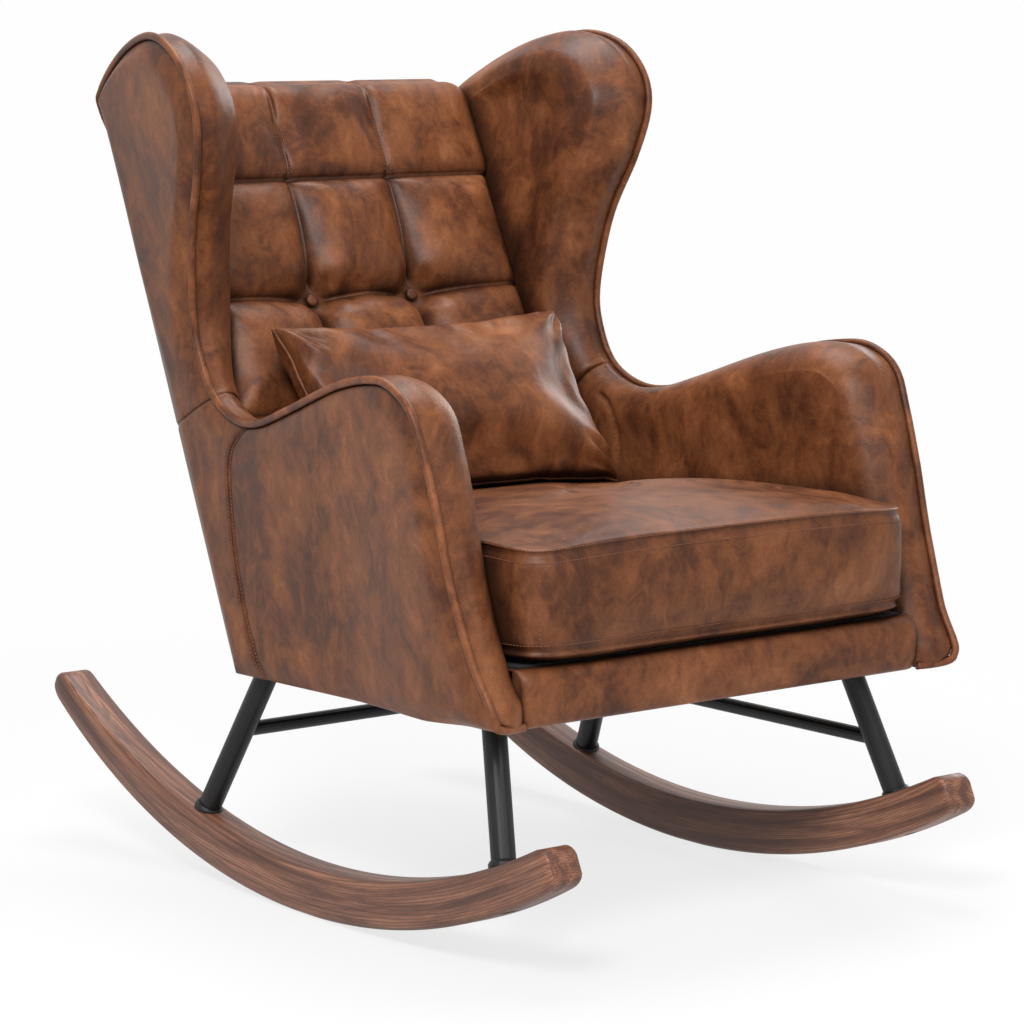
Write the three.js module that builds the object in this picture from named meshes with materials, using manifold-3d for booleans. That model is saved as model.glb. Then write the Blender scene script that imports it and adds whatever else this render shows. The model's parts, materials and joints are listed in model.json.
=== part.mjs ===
// A wingback rocking armchair: leather shell, tufted back, loose seat cushion and lumbar pillow,
// on four steel legs that stand on two curved walnut rockers.
// Millimetres, +Z up, the sitter looks along -Y, so the sitter's left is +X.
// The origin is on the floor, under the middle of the chair's length.
import * as THREE from "three";
import { mergeVertices } from "three/addons/utils/BufferGeometryUtils.js";
import Module from "manifold-3d";

const wasm = await Module();
wasm.setup();

// Clearances
const seatGap = 0.3;
const layerGap = 0.5;
const waddingGap = 1.3;
const cutOverrun = 60;

// Rockers
const rockerInset = 3;
const rockerWidth = 45.8;
const rockerThickness = 55.7;
const rockerLowRadius = 917;
const rockerRadiusGain = 104;
const rockerTopShift = 2;
const contactY = -45;
const rockerFrontReach = 458.4;
const rockerRearReach = 550.6;
const rockerEdgeRound = 5;
const rockerEndRound = 15;
const rockerEndShares = [0, 0.3, 1];
const rockerEndDropShare = 0.6;
const rockerTaperShare = 0.03;
const rockerSteps = 25;

// Legs and stretchers
const legRadius = 14;
const legWall = 2;
const frontLegFootY = -397.5;
const frontLegTopY = -342;
const rearLegFootY = 185.5;
const rearLegTopY = 98;
const legTopInset = 32;
const collarRadius = 17.5;
const collarHeight = 8;
const collarLandShare = 0.6;
const spigotLength = 26;
const spigotClearance = 0.4;
const boltRadius = 4;
const boltHeadRadius = 8;
const boltHeadHeight = 5;
const boltClearance = 0.4;
const counterboreDepth = 12;
const boltEngagement = 20;
const legSides = 24;
const boltSides = 12;
const barRadius = 9;
const barSides = 16;
const barHeight = 186;
const plateLength = 42;
const plateInset = 9;
const plateThickness = 3;
const plateRound = 6;

// Body sides: the outline of one side seen along X, and how far it flares out
const sideFrontY = -439.5;
const sideDepth = 854;
const sideBaseZ = 258;
const sideHeight = 755;
const baseRise = 17;
const rearBaseY = 123.7;
const rearTopDepthShare = 0.991;
const rearHalfWidth = 300;
const flareBaseShare = 0.044;
const flareRiseShare = 0.1434;
const cornerCut = 20;
const footRound = 26;
const footRoundReach = 90;
const footRoundStart = 60;
const swellWidth = 18;
const swellStartY = -120;
const swellRun = 230;
const swellTopZ = 640;
const swellFade = 280;
const coverThickness = 8;
const coverInset = 6.2;
const shellThickness = 12;
const shellInset = 26;
const shellLift = 12;
const armInnerInset = 10;
const armInnerTaper = 28;
const wingThickness = 62;
const wingSeamThickness = 55;
const wingSeamShare = 0.42;
const wingGrowShare = 0.2;
const rollInset = 38;
const rollProud = 4;
const rollRoomShare = 0.6;
const pocketRollShare = 0.8;
const pipingRadius = 4.5;
const pipingFootShift = 4;
const pipingFootSpans = 2;

// Points of the arm and wing outline, as shares of sideDepth and sideHeight, front foot first
const armOutlineShares = [
  [0.004, 0.031], [0.0015, 0.058], [0.0335, 0.1206], [0.0695, 0.2278], [0.0954, 0.3338],
  [0.1195, 0.4159], [0.144, 0.4755], [0.1874, 0.506], [0.2401, 0.5099], [0.3337, 0.4901],
  [0.4742, 0.4384], [0.5621, 0.4093], [0.6265, 0.4093], [0.6851, 0.4411],
];
const wingOutlineShares = [
  [0.719, 0.502], [0.7307, 0.5722], [0.7131, 0.694], [0.6745, 0.7974],
  [0.6581, 0.8768], [0.6733, 0.9338], [0.7178, 0.9801], [0.7822, 1],
  [0.8548, 0.9868], [0.925, 0.955], [0.9754, 0.9192], [0.9945, 0.896],
];
// Where the line from each arm point ends: along the bottom edge, then up the rear edge
const armBaseShares = [0, 0.05, 0.13, 0.25, 0.38, 0.46, 0.54, 0.62, 0.7, 0.82, 1];
const armRearShares = [0.153, 0.292, 0.43];
const wingRearShares = [
  0.513, 0.588, 0.685, 0.775, 0.843, 0.888, 0.921, 0.946, 0.963, 0.979, 0.991, 1,
];
const rearTopShare = 0.8834;
// The same ends for the inner padding, which stops on the seat deck
const padFootShare = 0.12;
const padDeckShares = [0, 0.05, 0.13, 0.22, 0.31, 0.4, 0.49, 0.58, 0.71, 0.9];
const padDeckEndShare = 0.1505;
const padRearShares = [0.215, 0.32, 0.43];
const armSteps = 26;
const wingSteps = 26;
const shellEndSpans = 1;
const footSpans = 3.6;

// Seat base
const railHeight = 60;
const railThickness = 25;
const railLift = 3;
const apronThickness = 24;
const apronRound = 12;
const apronFrontY = -432;
const apronLip = 20;
const apronLipThickness = 2;
const padFootDepth = 50;
const strapCount = 5;
const strapWidth = 60;
const strapThickness = 2;
const deckThickness = 2;
const dustThickness = 1.5;
const blockReach = 90;
const blockHeight = 40;

// Back
const backPanelThickness = 6;
const backFrameThickness = 12;
const backTopShare = 0.9113;
const backTopThickness = 36.8;
const backFootThickness = 74.2;
const backBottomHeight = 76;
const columnShare = 0.32;
const headrestHeight = 127;
const rowHeight = 155;
const rowCount = 3;
const puffHeight = 15;
const puffPower = 0.45;
const headrestPuff = 10;
const headrestSeamShare = 0.7;
const headrestGrooveShare = 0.5;
const seamGroove = 9;
const tuftDepth = 17;
const tuftReach = 62;
const tuftFlat = 13;
const backFaceInset = 58;
const backLedge = 22;
const shoulderDropShare = 0.2;
const buttonRadius = 11;
const buttonHeight = 7;
const buttonShares = [[0, 0], [1, 0], [1, 0.4], [0.7, 0.85], [0, 1]];

// Loose seat cushion and lumbar pillow
const cushionFrontY = -437;
const cushionRearY = 64;
const cushionRearLeanShare = 0.9;
const cushionBoxing = 123;
const cushionSeamLift = 16;
const cushionCrown = 31;
const cushionBulge = 9;
const cushionCorner = 34;
const cushionDrawIn = 4;
const cushionRearDrop = 12;
const cushionRearDropStart = -260;
const cushionRearDropRun = 240;
const cushionCornerDrop = 5;
const cushionSeamRise = 3;
const cushionSteps = 48;
const cushionLoopPower = 0.28;
// Rings from the underside to the crown: the inset in cushion corners, then the shares of the
// seam lift, of the boxing above it, of the crown and of the bulge
const cushionRingShares = [
  [3, 0, 0, 0, 1], [1, 0, 0, 0, 0], [0, 1, 0, 0, 0], [0, 1, 0.3, 0, 0.8],
  [0, 1, 0.6, 0, 1], [0, 1, 1, 0, 0], [0.35, 1, 1, 0.3, 0], [1, 1, 1, 0.58, 0.5],
  [2.2, 1, 1, 0.84, 1], [4, 1, 1, 0.97, 1], [6, 1, 1, 1, 1],
];
const pillowWidth = 430;
const pillowHeight = 244;
const pillowThickness = 128;
const pillowLeanDegrees = 33;
const pillowCentreY = 92;
const pillowCentreZ = 561.6;
const pillowDrawIn = 17;
const pillowLoopPower = 0.34;
const pillowShares = [[0.2, 0.98], [0.45, 0.9], [0.68, 0.72], [0.85, 0.48], [0.95, 0.24], [1, 0.05]];

// Materials
const paint = {
  leather: { color: 0x784630, roughness: 0.5, metalness: 0 },
  piping: { color: 0x83503a, roughness: 0.5, metalness: 0 },
  walnut: { color: 0x7a4f3a, roughness: 0.55, metalness: 0 },
  steel: { color: 0x232323, roughness: 0.45, metalness: 0.6 },
  zinc: { color: 0x9a9a9c, roughness: 0.4, metalness: 0.9 },
  plywood: { color: 0xc8a878, roughness: 0.7, metalness: 0 },
  webbing: { color: 0x2c2a28, roughness: 0.9, metalness: 0 },
  cloth: { color: 0x1c1b1a, roughness: 0.95, metalness: 0 },
};

const rockerSpacing = (rearHalfWidth - rockerInset) * 2;
const legTopSpacing = (rearHalfWidth - legTopInset) * 2;
const armInnerFront = rearHalfWidth - armInnerInset;
const backFaceHalf = rearHalfWidth - backFaceInset;
const columnWidth = backFaceHalf * 2 * columnShare;
const rearTopZ = sideBaseZ + sideHeight * rearTopShare;
const rearTopY = sideFrontY + sideDepth * rearTopDepthShare;
const rearSlope = (rearTopY - rearBaseY) / (rearTopZ - sideBaseZ);

const chair = new THREE.Group();
const sides = [
  { name: "right", sign: -1 },
  { name: "left", sign: 1 },
];

function lerp(a, b, share) {
  return a + (b - a) * share;
}

function smooth(share) {
  const s = Math.min(1, Math.max(0, share));
  return s * s * (3 - 2 * s);
}

function add(name, geometry, look) {
  geometry.computeVertexNormals();
  const mesh = new THREE.Mesh(geometry, new THREE.MeshStandardMaterial(paint[look]));
  mesh.name = name;
  chair.add(mesh);
  return mesh;
}

// A closed mesh from points and triangles, turned so that its faces point out
function closedGeometry(points, triangles) {
  let volume = 0;
  for (const [a, b, c] of triangles) {
    volume += points[a].dot(points[b].clone().cross(points[c]));
  }
  const index = [];
  for (const [a, b, c] of triangles) {
    if (volume > 0) index.push(a, b, c);
    else index.push(a, c, b);
  }
  const geometry = new THREE.BufferGeometry();
  const spots = points.flatMap((p) => p.toArray());
  geometry.setAttribute("position", new THREE.Float32BufferAttribute(spots, 3));
  geometry.setIndex(index);
  return geometry;
}

// A solid through a row of closed sections; the first and last are capped by their flat outline
function loft(sections, firstOutline, lastOutline = firstOutline) {
  const count = sections[0].length;
  const last = (sections.length - 1) * count;
  const triangles = [];
  for (let i = 0; i + 1 < sections.length; i += 1) {
    for (let j = 0; j < count; j += 1) {
      const a = i * count + j;
      const b = i * count + ((j + 1) % count);
      triangles.push([a, b, b + count], [a, b + count, a + count]);
    }
  }
  const wasClockwise = THREE.ShapeUtils.isClockWise(firstOutline);
  for (const [a, b, c] of THREE.ShapeUtils.triangulateShape(firstOutline, [])) {
    triangles.push(wasClockwise ? [a, b, c] : [a, c, b]);
  }
  for (const [a, b, c] of THREE.ShapeUtils.triangulateShape(lastOutline, [])) {
    triangles.push(wasClockwise ? [last + a, last + c, last + b] : [last + a, last + b, last + c]);
  }
  return closedGeometry(sections.flat(), triangles);
}

// Solids for cuts
function solid(geometry) {
  const bare = geometry.clone();
  bare.deleteAttribute("normal");
  bare.deleteAttribute("uv");
  const merged = mergeVertices(bare);
  const mesh = new wasm.Mesh({
    numProp: 3,
    vertProperties: merged.attributes.position.array,
    triVerts: new Uint32Array(merged.index.array),
  });
  return new wasm.Manifold(mesh);
}

function geometryOf(cut) {
  const mesh = cut.getMesh();
  const geometry = new THREE.BufferGeometry();
  geometry.setAttribute("position", new THREE.BufferAttribute(mesh.vertProperties, 3));
  geometry.setIndex(new THREE.BufferAttribute(mesh.triVerts, 1));
  return geometry;
}

function cutAway(geometry, ...tools) {
  let result = solid(geometry);
  for (const tool of tools) result = result.subtract(solid(tool));
  return geometryOf(result);
}

// A lathe solid whose axis starts at foot and runs along direction
function turnedAlong(foot, direction, profile, steps) {
  const geometry = new THREE.LatheGeometry(profile.map(([r, h]) => new THREE.Vector2(r, h)), steps);
  const turn = new THREE.Quaternion().setFromUnitVectors(new THREE.Vector3(0, 1, 0), direction);
  geometry.applyQuaternion(turn);
  geometry.translate(foot.x, foot.y, foot.z);
  return geometry;
}

// Rockers
const rockerTopRadius = rockerLowRadius + rockerRadiusGain;
const rockerFacet = (rockerFrontReach + rockerRearReach) / rockerSteps;
const rockerSag = rockerLowRadius - Math.sqrt(rockerLowRadius ** 2 - (rockerFacet / 2) ** 2);

function rockerLowZ(y) {
  return rockerLowRadius - Math.sqrt(rockerLowRadius ** 2 - (y - contactY) ** 2) - rockerSag;
}

function rockerTopZ(y) {
  const reach = y - contactY - rockerTopShift;
  return rockerThickness + rockerTopRadius - Math.sqrt(rockerTopRadius ** 2 - reach ** 2);
}

function rockerSection(centreX, y, shrink) {
  const low = rockerLowZ(y) + shrink;
  const top = rockerTopZ(y) - shrink;
  const half = rockerWidth / 2;
  const r = rockerEdgeRound;
  const slope = (y - contactY) / rockerLowRadius;
  const lean = Math.atan(slope);
  const middle = (low + top) / 2;
  const outline = [
    [-half, low + r], [-half + r, low], [half - r, low], [half, low + r],
    [half, top - r], [half - r, top], [-half + r, top], [-half, top - r],
  ];
  return outline.map(([x, z]) => new THREE.Vector3(centreX + x, y - (z - middle) * Math.sin(lean), z));
}

function rockerGeometry(centreX) {
  const facet = rockerFacet;
  const firstY = contactY - facet * (Math.floor(rockerFrontReach / facet) + 0.5);
  const frontY = contactY - rockerFrontReach;
  const rearY = contactY + rockerRearReach;
  const stations = rockerEndShares.map((share) => frontY + rockerEndRound * share);
  for (let y = firstY + facet; y < rearY - rockerEndRound; y += facet) {
    if (y > frontY + rockerEndRound + facet / 2) stations.push(y);
  }
  stations.push(...rockerEndShares.map((share) => rearY - rockerEndRound * share).reverse());
  const shrinkOf = (y) => {
    const inside = Math.min(y - frontY, rearY - y) / rockerEndRound;
    if (inside >= 1) return 0;
    return rockerEndRound * rockerEndDropShare * (1 - Math.sqrt(1 - (1 - inside) ** 2));
  };
  const sections = stations.map((y) => rockerSection(centreX, y, shrinkOf(y)));
  const outline = sections[0].map((p) => new THREE.Vector2(p.x, p.z));
  return loft(sections, outline);
}

// One leg: where its axis starts on the rocker, where it ends, and what belongs to it
function legLine(side, row) {
  const { footY, topY } = row;
  const topZ = baseZ(topY) + railLift - plateThickness - seatGap * 2;
  const foot = new THREE.Vector3(side.sign * rockerSpacing / 2, footY, rockerTopZ(footY));
  const top = new THREE.Vector3(side.sign * legTopSpacing / 2, topY, topZ);
  const direction = top.clone().sub(foot).normalize();
  return { foot, top, direction };
}

function baseZ(y) {
  return sideBaseZ + baseRise * (rearBaseY - y) / (rearBaseY - sideFrontY);
}

function baseSlope() {
  return Math.atan(baseRise / (rearBaseY - sideFrontY));
}

const legRows = [
  { name: "front", footY: frontLegFootY, topY: frontLegTopY },
  { name: "rear", footY: rearLegFootY, topY: rearLegTopY },
];

function discProfile(radius, from, to) {
  return [[0, from], [radius, from], [radius, to], [0, to]];
}

function slab(zFrom, zTo) {
  const size = rockerSpacing + rockerFrontReach + rockerRearReach;
  const geometry = new THREE.BoxGeometry(size, size, zTo - zFrom);
  geometry.translate(0, 0, (zFrom + zTo) / 2);
  geometry.rotateX(-baseSlope());
  return geometry;
}

function legRing(line) {
  const start = collarHeight + seatGap;
  const length = line.foot.distanceTo(line.top) + cutOverrun;
  const inner = legRadius - legWall;
  const profile = [
    [inner, start], [legRadius, start], [legRadius, length], [inner, length], [inner, start],
  ];
  const tube = turnedAlong(line.foot, line.direction, profile, legSides);
  const ceiling = slab(0, sideHeight);
  ceiling.translate(0, line.top.y, line.top.z);
  return cutAway(tube, ceiling);
}

function collarGeometry(line, rocker) {
  const spigot = legRadius - legWall - spigotClearance;
  const hole = boltRadius + boltClearance;
  const end = collarHeight + spigotLength;
  const profile = [
    [hole, -collarHeight], [collarRadius, -collarHeight],
    [collarRadius, collarHeight * collarLandShare],
    [collarRadius - legWall, collarHeight], [spigot, collarHeight], [spigot, end],
    [hole, end], [hole, -collarHeight],
  ];
  const collar = turnedAlong(line.foot, line.direction, profile, legSides);
  const floor = rocker.clone();
  floor.translate(0, 0, seatGap);
  return cutAway(collar, floor, lowerBlock(line));
}

function lowerBlock(line) {
  const size = collarRadius + cutOverrun;
  const block = new THREE.BoxGeometry(size, size, size);
  block.translate(line.foot.x, line.foot.y, line.foot.z - size / 2 - collarRadius);
  return block;
}

function rockerDepthAt(line) {
  const taper = Math.abs(line.foot.y - contactY) * rockerTaperShare;
  return (rockerThickness - taper) / line.direction.z;
}

function boltTools(line) {
  const under = -rockerDepthAt(line) - cutOverrun;
  const boreEnd = -rockerDepthAt(line) + counterboreDepth;
  const shank = discProfile(boltRadius + boltClearance, under, cutOverrun);
  const seat = discProfile(boltHeadRadius + boltClearance * 2, under, boreEnd);
  return [
    turnedAlong(line.foot, line.direction, shank, boltSides),
    turnedAlong(line.foot, line.direction, seat, boltSides),
  ];
}

function boltGeometry(line) {
  const seat = -rockerDepthAt(line) + counterboreDepth - seatGap;
  const profile = [
    [0, seat - boltHeadHeight], [boltHeadRadius, seat - boltHeadHeight], [boltHeadRadius, seat],
    [boltRadius, seat], [boltRadius, collarHeight + boltEngagement], [0, collarHeight + boltEngagement],
  ];
  return turnedAlong(line.foot, line.direction, profile, boltSides);
}

function plateGeometry(line) {
  const half = plateLength / 2;
  const shape = new THREE.Shape();
  shape.moveTo(-half + plateRound, -half);
  shape.lineTo(half - plateRound, -half);
  shape.quadraticCurveTo(half, -half, half, -half + plateRound);
  shape.lineTo(half, half - plateRound);
  shape.quadraticCurveTo(half, half, half - plateRound, half);
  shape.lineTo(-half + plateRound, half);
  shape.quadraticCurveTo(-half, half, -half, half - plateRound);
  shape.lineTo(-half, -half + plateRound);
  shape.quadraticCurveTo(-half, -half, -half + plateRound, -half);
  const options = { depth: plateThickness, bevelEnabled: false, curveSegments: 3 };
  const plate = new THREE.ExtrudeGeometry(shape, options);
  plate.rotateX(-baseSlope());
  const x = line.top.x - Math.sign(line.top.x) * plateInset;
  const y = line.top.y - Math.sign(line.top.y) * plateInset;
  plate.translate(x, y, line.top.z + baseZ(y) - baseZ(line.top.y) + seatGap);
  return plate;
}

const legLines = {};
for (const side of sides) {
  const centreX = side.sign * rockerSpacing / 2;
  const rocker = rockerGeometry(centreX);
  const tools = [];
  for (const row of legRows) {
    const line = legLine(side, row);
    const tag = `${row.name}_${side.name}`;
    legLines[tag] = line;
    tools.push(...boltTools(line));
    add(`leg_${tag}`, legRing(line), "steel");
    add(`leg_collar_${tag}`, collarGeometry(line, rocker), "steel");
    add(`rocker_bolt_${tag}`, boltGeometry(line), "zinc");
    add(`leg_plate_${tag}`, plateGeometry(line), "steel");
  }
  add(`rocker_${side.name}`, cutAway(rocker, ...tools), "walnut");
}

// Stretchers: one between the rear legs, one along the sitter's left side
function pointAtHeight(line, height) {
  return line.foot.clone().addScaledVector(line.direction, (height - line.foot.z) / line.direction.z);
}

function barBetween(lineA, lineB) {
  const from = pointAtHeight(lineA, barHeight);
  const to = pointAtHeight(lineB, barHeight);
  const direction = to.clone().sub(from).normalize();
  const bar = turnedAlong(from, direction, discProfile(barRadius, 0, from.distanceTo(to)), barSides);
  const legs = [lineA, lineB].map((line) => {
    const profile = discProfile(legRadius + seatGap, 0, line.foot.distanceTo(line.top));
    return turnedAlong(line.foot, line.direction, profile, legSides);
  });
  return cutAway(bar, ...legs);
}

add("rear_stretcher", barBetween(legLines.rear_right, legLines.rear_left), "steel");
add("side_stretcher_left", barBetween(legLines.front_left, legLines.rear_left), "steel");

// The flared side surfaces
function heightShare(z) {
  return (z - sideBaseZ) / sideHeight;
}

function rearY(z) {
  return rearBaseY + (z - sideBaseZ) * rearSlope;
}

// The side as a plain flared surface, which the rails follow
function flareX(y, z) {
  return rearHalfWidth + (flareBaseShare + flareRiseShare * heightShare(z)) * (rearY(z) - y);
}

// The upholstery swells out low on the arm's front, and rounds in at the arm's foot
function outerX(y, z) {
  const swell = smooth((swellStartY - y) / swellRun) * smooth((swellTopZ - z) / swellFade);
  const height = Math.min(footRound, Math.max(0, z - baseZ(y)));
  const roundIn = footRound - Math.sqrt(footRound ** 2 - (footRound - height) ** 2);
  const forward = smooth((sideFrontY + footRoundReach + footRoundStart - y) / footRoundReach);
  return flareX(y, z) + swellWidth * swell - roundIn * forward;
}

function armInnerX(y) {
  return armInnerFront - armInnerTaper * (y - apronFrontY) / (rearBaseY - apronFrontY);
}

function armDepth(y, z) {
  return outerX(y, z) - armInnerX(y);
}

function wingDepth(y, z) {
  const grown = smooth((heightShare(z) - wingSeamShare) / wingGrowShare);
  return lerp(wingSeamThickness, wingThickness, grown);
}

function outlinePoint([depthShare, riseShare]) {
  return new THREE.Vector2(sideFrontY + depthShare * sideDepth, sideBaseZ + riseShare * sideHeight);
}

const rearTop = new THREE.Vector2(rearTopY, rearTopZ);
const rearFoot = new THREE.Vector2(rearBaseY, sideBaseZ);
const frontFoot = new THREE.Vector2(sideFrontY + cornerCut, baseZ(sideFrontY + cornerCut));

const outlineShares = [...armOutlineShares, ...wingOutlineShares];
const outlineCurve = new THREE.SplineCurve(outlineShares.map(outlinePoint));
const outlineSpans = outlineShares.length - 1;
const armSpans = armOutlineShares.length - 1;

function onTable(table, at) {
  const i = Math.min(table.length - 2, Math.max(0, Math.floor(at)));
  return table[i].clone().lerp(table[i + 1], at - i);
}

// Ends on the bottom and rear edges, moved in by an inset on each
function sideEnds(rearInset, baseInset) {
  const foot = rearFoot.clone();
  const top = rearTop.clone();
  foot.x -= rearInset;
  top.x -= rearInset;
  const lift = new THREE.Vector2(0, baseInset);
  return [
    ...armBaseShares.map((s) => frontFoot.clone().lerp(foot, s).add(lift)),
    ...armRearShares.map((s) => foot.clone().lerp(top, s)),
    ...wingRearShares.map((s) => foot.clone().lerp(top, s)),
  ];
}

const coverEnds = sideEnds(0, 0);
const shellEnds = sideEnds(backPanelThickness + layerGap, shellLift);

const shellFrom = coverThickness + waddingGap;
const padDeckFront = sideFrontY + padFootDepth;
const padRearInset = backPanelThickness + backFrameThickness + seatGap * 3;

function deckZ(y) {
  return baseZ(y) + railLift + railHeight + strapThickness + deckThickness + seatGap * 3;
}

function padRearPoint(share) {
  const point = rearFoot.clone().lerp(rearTop, share);
  point.x -= padRearInset;
  return point;
}

const padDeckRear = padRearPoint(padDeckEndShare).x;
const padEnds = [
  new THREE.Vector2(padDeckFront - padFootDepth * padFootShare, baseZ(padDeckFront) + railLift),
  ...padDeckShares.map((s) => {
    const y = lerp(padDeckFront, padDeckRear, s);
    return new THREE.Vector2(y, deckZ(y));
  }),
  ...padRearShares.map(padRearPoint),
  ...wingRearShares.map(padRearPoint),
];

// Lines across one side, from the outline to the far edge, between two outline points
function crossLines(ends, fromSpan, toSpan, steps, shift = 0) {
  const lines = [];
  for (let i = 0; i <= steps; i += 1) {
    const at = lerp(fromSpan, toSpan, i / steps);
    const edge = outlineCurve.getPoint(at / outlineSpans);
    const tangent = outlineCurve.getTangent(at / outlineSpans);
    const end = onTable(ends, at);
    if (i === 0) {
      edge.y += shift;
      end.y += shift;
    }
    const square = new THREE.Vector2(tangent.y, -tangent.x);
    const raised = smooth(at / footSpans);
    const inward = end.clone().sub(edge).normalize().lerp(square, raised).normalize();
    lines.push({ edge, end, inward, raised });
  }
  return lines;
}

function placeOnSide(sign, point, depth) {
  return new THREE.Vector3(sign * (outerX(point.x, point.y) - depth), point.x, point.y);
}

function placeOnFrame(sign, point, depth) {
  return new THREE.Vector3(sign * (flareX(point.x, point.y) - depth), point.x, point.y);
}

// A point at some distance inside the outline, square to it
function insideEdge(line, inset) {
  return line.edge.clone().addScaledVector(line.inward, inset);
}

// A sheet of even thickness on the side: shares run from the outline to the far edge
function sheetGeometry(sign, lines, inset, shares, place, depthFrom, depthTo) {
  const section = (line) => {
    const start = insideEdge(line, inset);
    const spots = shares.map((s) => start.clone().lerp(line.end, s));
    return [
      ...spots.map((p) => place(sign, p, depthFrom)),
      ...spots.reverse().map((p) => place(sign, p, depthTo)),
    ];
  };
  const flat = [
    ...shares.map((s) => new THREE.Vector2(s, 0)),
    ...[...shares].reverse().map((s) => new THREE.Vector2(s, 1)),
  ];
  return loft(lines.map(section), flat);
}

// The rolled padding: a section that starts at the piping, rolls over the edge and runs in
const rollShares = [
  [0, 0, 0], [0, -0.7, 0.24], [0, -1, 0.42], [0.1, -0.5, 0.68],
  [0.34, 0, 0.87], [0.66, 0, 0.97], [1, 0, 1],
];
const padShares = [0.25, 0.5, 0.75, 1];

function padGeometry(sign, lines, depthAt) {
  const pocketDepth = shellFrom + shellThickness + layerGap;
  const section = (line) => {
    const edgeDepth = coverThickness + layerGap + waddingGap * (1 - line.raised);
    const room = line.edge.distanceTo(line.end);
    const roll = Math.min(rollInset, room * rollRoomShare);
    const rollEnd = insideEdge(line, roll);
    const pocketEdge = insideEdge(line, Math.min(shellInset - layerGap * 3, roll * pocketRollShare));
    const points = [];
    for (const [insetShare, proudShare, depthShare] of rollShares) {
      const p = insideEdge(line, insetShare * roll + proudShare * rollProud);
      const full = depthAt(p.x, p.y);
      points.push(placeOnSide(sign, p, lerp(edgeDepth + layerGap * 2, full, depthShare)));
    }
    for (const share of padShares) {
      const p = rollEnd.clone().lerp(line.end, share);
      points.push(placeOnSide(sign, p, depthAt(p.x, p.y)));
    }
    for (const share of [...padShares].reverse()) {
      points.push(placeOnFrame(sign, pocketEdge.clone().lerp(line.end, share), pocketDepth));
    }
    points.push(placeOnFrame(sign, pocketEdge, pocketDepth));
    points.push(placeOnSide(sign, pocketEdge, edgeDepth));
    return points;
  };
  const sections = lines.map(section);
  const flatOf = (points, line) => {
    const along = line.end.clone().sub(line.edge).normalize();
    return points.map((p) => {
      const spot = new THREE.Vector2(p.y, p.z).sub(line.edge);
      return new THREE.Vector2(spot.dot(along), outerX(p.y, p.z) - Math.abs(p.x));
    });
  };
  const last = lines.length - 1;
  return loft(sections, flatOf(sections[0], lines[0]), flatOf(sections[last], lines[last]));
}

function pipingGeometry(sign) {
  const points = [];
  const steps = armSteps + wingSteps;
  for (let i = 0; i <= steps; i += 1) {
    const share = i / steps;
    const shift = pipingFootShift * (1 - smooth(share * outlineSpans / pipingFootSpans));
    const p = outlineCurve.getPoint(share);
    p.x -= shift;
    points.push(placeOnSide(sign, p, pipingRadius - shift));
  }
  const path = new THREE.CatmullRomCurve3(points);
  const section = new THREE.Shape();
  section.absarc(0, 0, pipingRadius, 0, Math.PI * 2);
  const cord = new THREE.ExtrudeGeometry(section, {
    steps, curveSegments: 4, bevelEnabled: false, extrudePath: path,
  });
  return cord;
}

const coverShares = [0, 0.15, 0.32, 0.5, 0.7, 1];
const shellShares = [0, 0.3, 0.64, 1];
for (const side of sides) {
  const { name, sign } = side;
  const armCover = crossLines(coverEnds, 0, armSpans, armSteps);
  const wingCover = crossLines(coverEnds, armSpans, outlineSpans, wingSteps, layerGap);
  const armPad = crossLines(padEnds, 0, armSpans, armSteps);
  const wingPad = crossLines(padEnds, armSpans, outlineSpans, wingSteps, layerGap);
  const shellEnd = outlineSpans - shellEndSpans * 2;
  const shell = crossLines(shellEnds, shellEndSpans, shellEnd, armSteps + wingSteps);
  const covers = [["arm_cover", armCover], ["wing_cover", wingCover]];
  for (const [part, lines] of covers) {
    const sheet = sheetGeometry(sign, lines, coverInset, coverShares, placeOnSide, 0, coverThickness);
    add(`${part}_${name}`, sheet, "leather");
  }
  const shellTo = shellFrom + shellThickness;
  const board = sheetGeometry(sign, shell, shellInset, shellShares, placeOnFrame, shellFrom, shellTo);
  add(`side_shell_${name}`, board, "plywood");
  add(`arm_pad_${name}`, padGeometry(sign, armPad, armDepth), "leather");
  add(`wing_pad_${name}`, padGeometry(sign, wingPad, wingDepth), "leather");
  add(`side_piping_${name}`, pipingGeometry(sign), "piping");
}

// Seat base: heights are measured up from the sloping bottom edge of the body
function onBase(x, y, height) {
  return new THREE.Vector3(x, y, baseZ(y) + height);
}

// A solid over a flat outline of [x, y] corners, between two heights
function baseSolid(corners, from, to) {
  const flat = corners.map(([x, y]) => new THREE.Vector2(x, y));
  const sections = [from, to].map((height) => corners.map(([x, y]) => onBase(x, y, height)));
  return loft(sections, flat);
}

const railTop = railLift + railHeight;
const frontRailFront = apronFrontY + apronThickness + seatGap;
const frontRailRear = frontRailFront + railThickness;
const frontRailHalf = armInnerX(frontRailRear) - layerGap;
const rearRailRear = rearBaseY - padRearInset;
const rearRailFront = rearRailRear - railThickness;
const railDepth = shellFrom + shellThickness + layerGap;

function railOuterX(y) {
  const low = baseZ(y) + railLift;
  return Math.min(flareX(y, low), flareX(y, low + railHeight)) - railDepth - seatGap;
}

function mirroredCorners(corners) {
  return [...corners, ...corners.map(([x, y]) => [-x, y]).reverse()];
}

const frontRailCorners = mirroredCorners([
  [frontRailHalf, frontRailFront], [frontRailHalf, frontRailRear],
]);
add("front_rail", baseSolid(frontRailCorners, railLift, railTop), "plywood");

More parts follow.
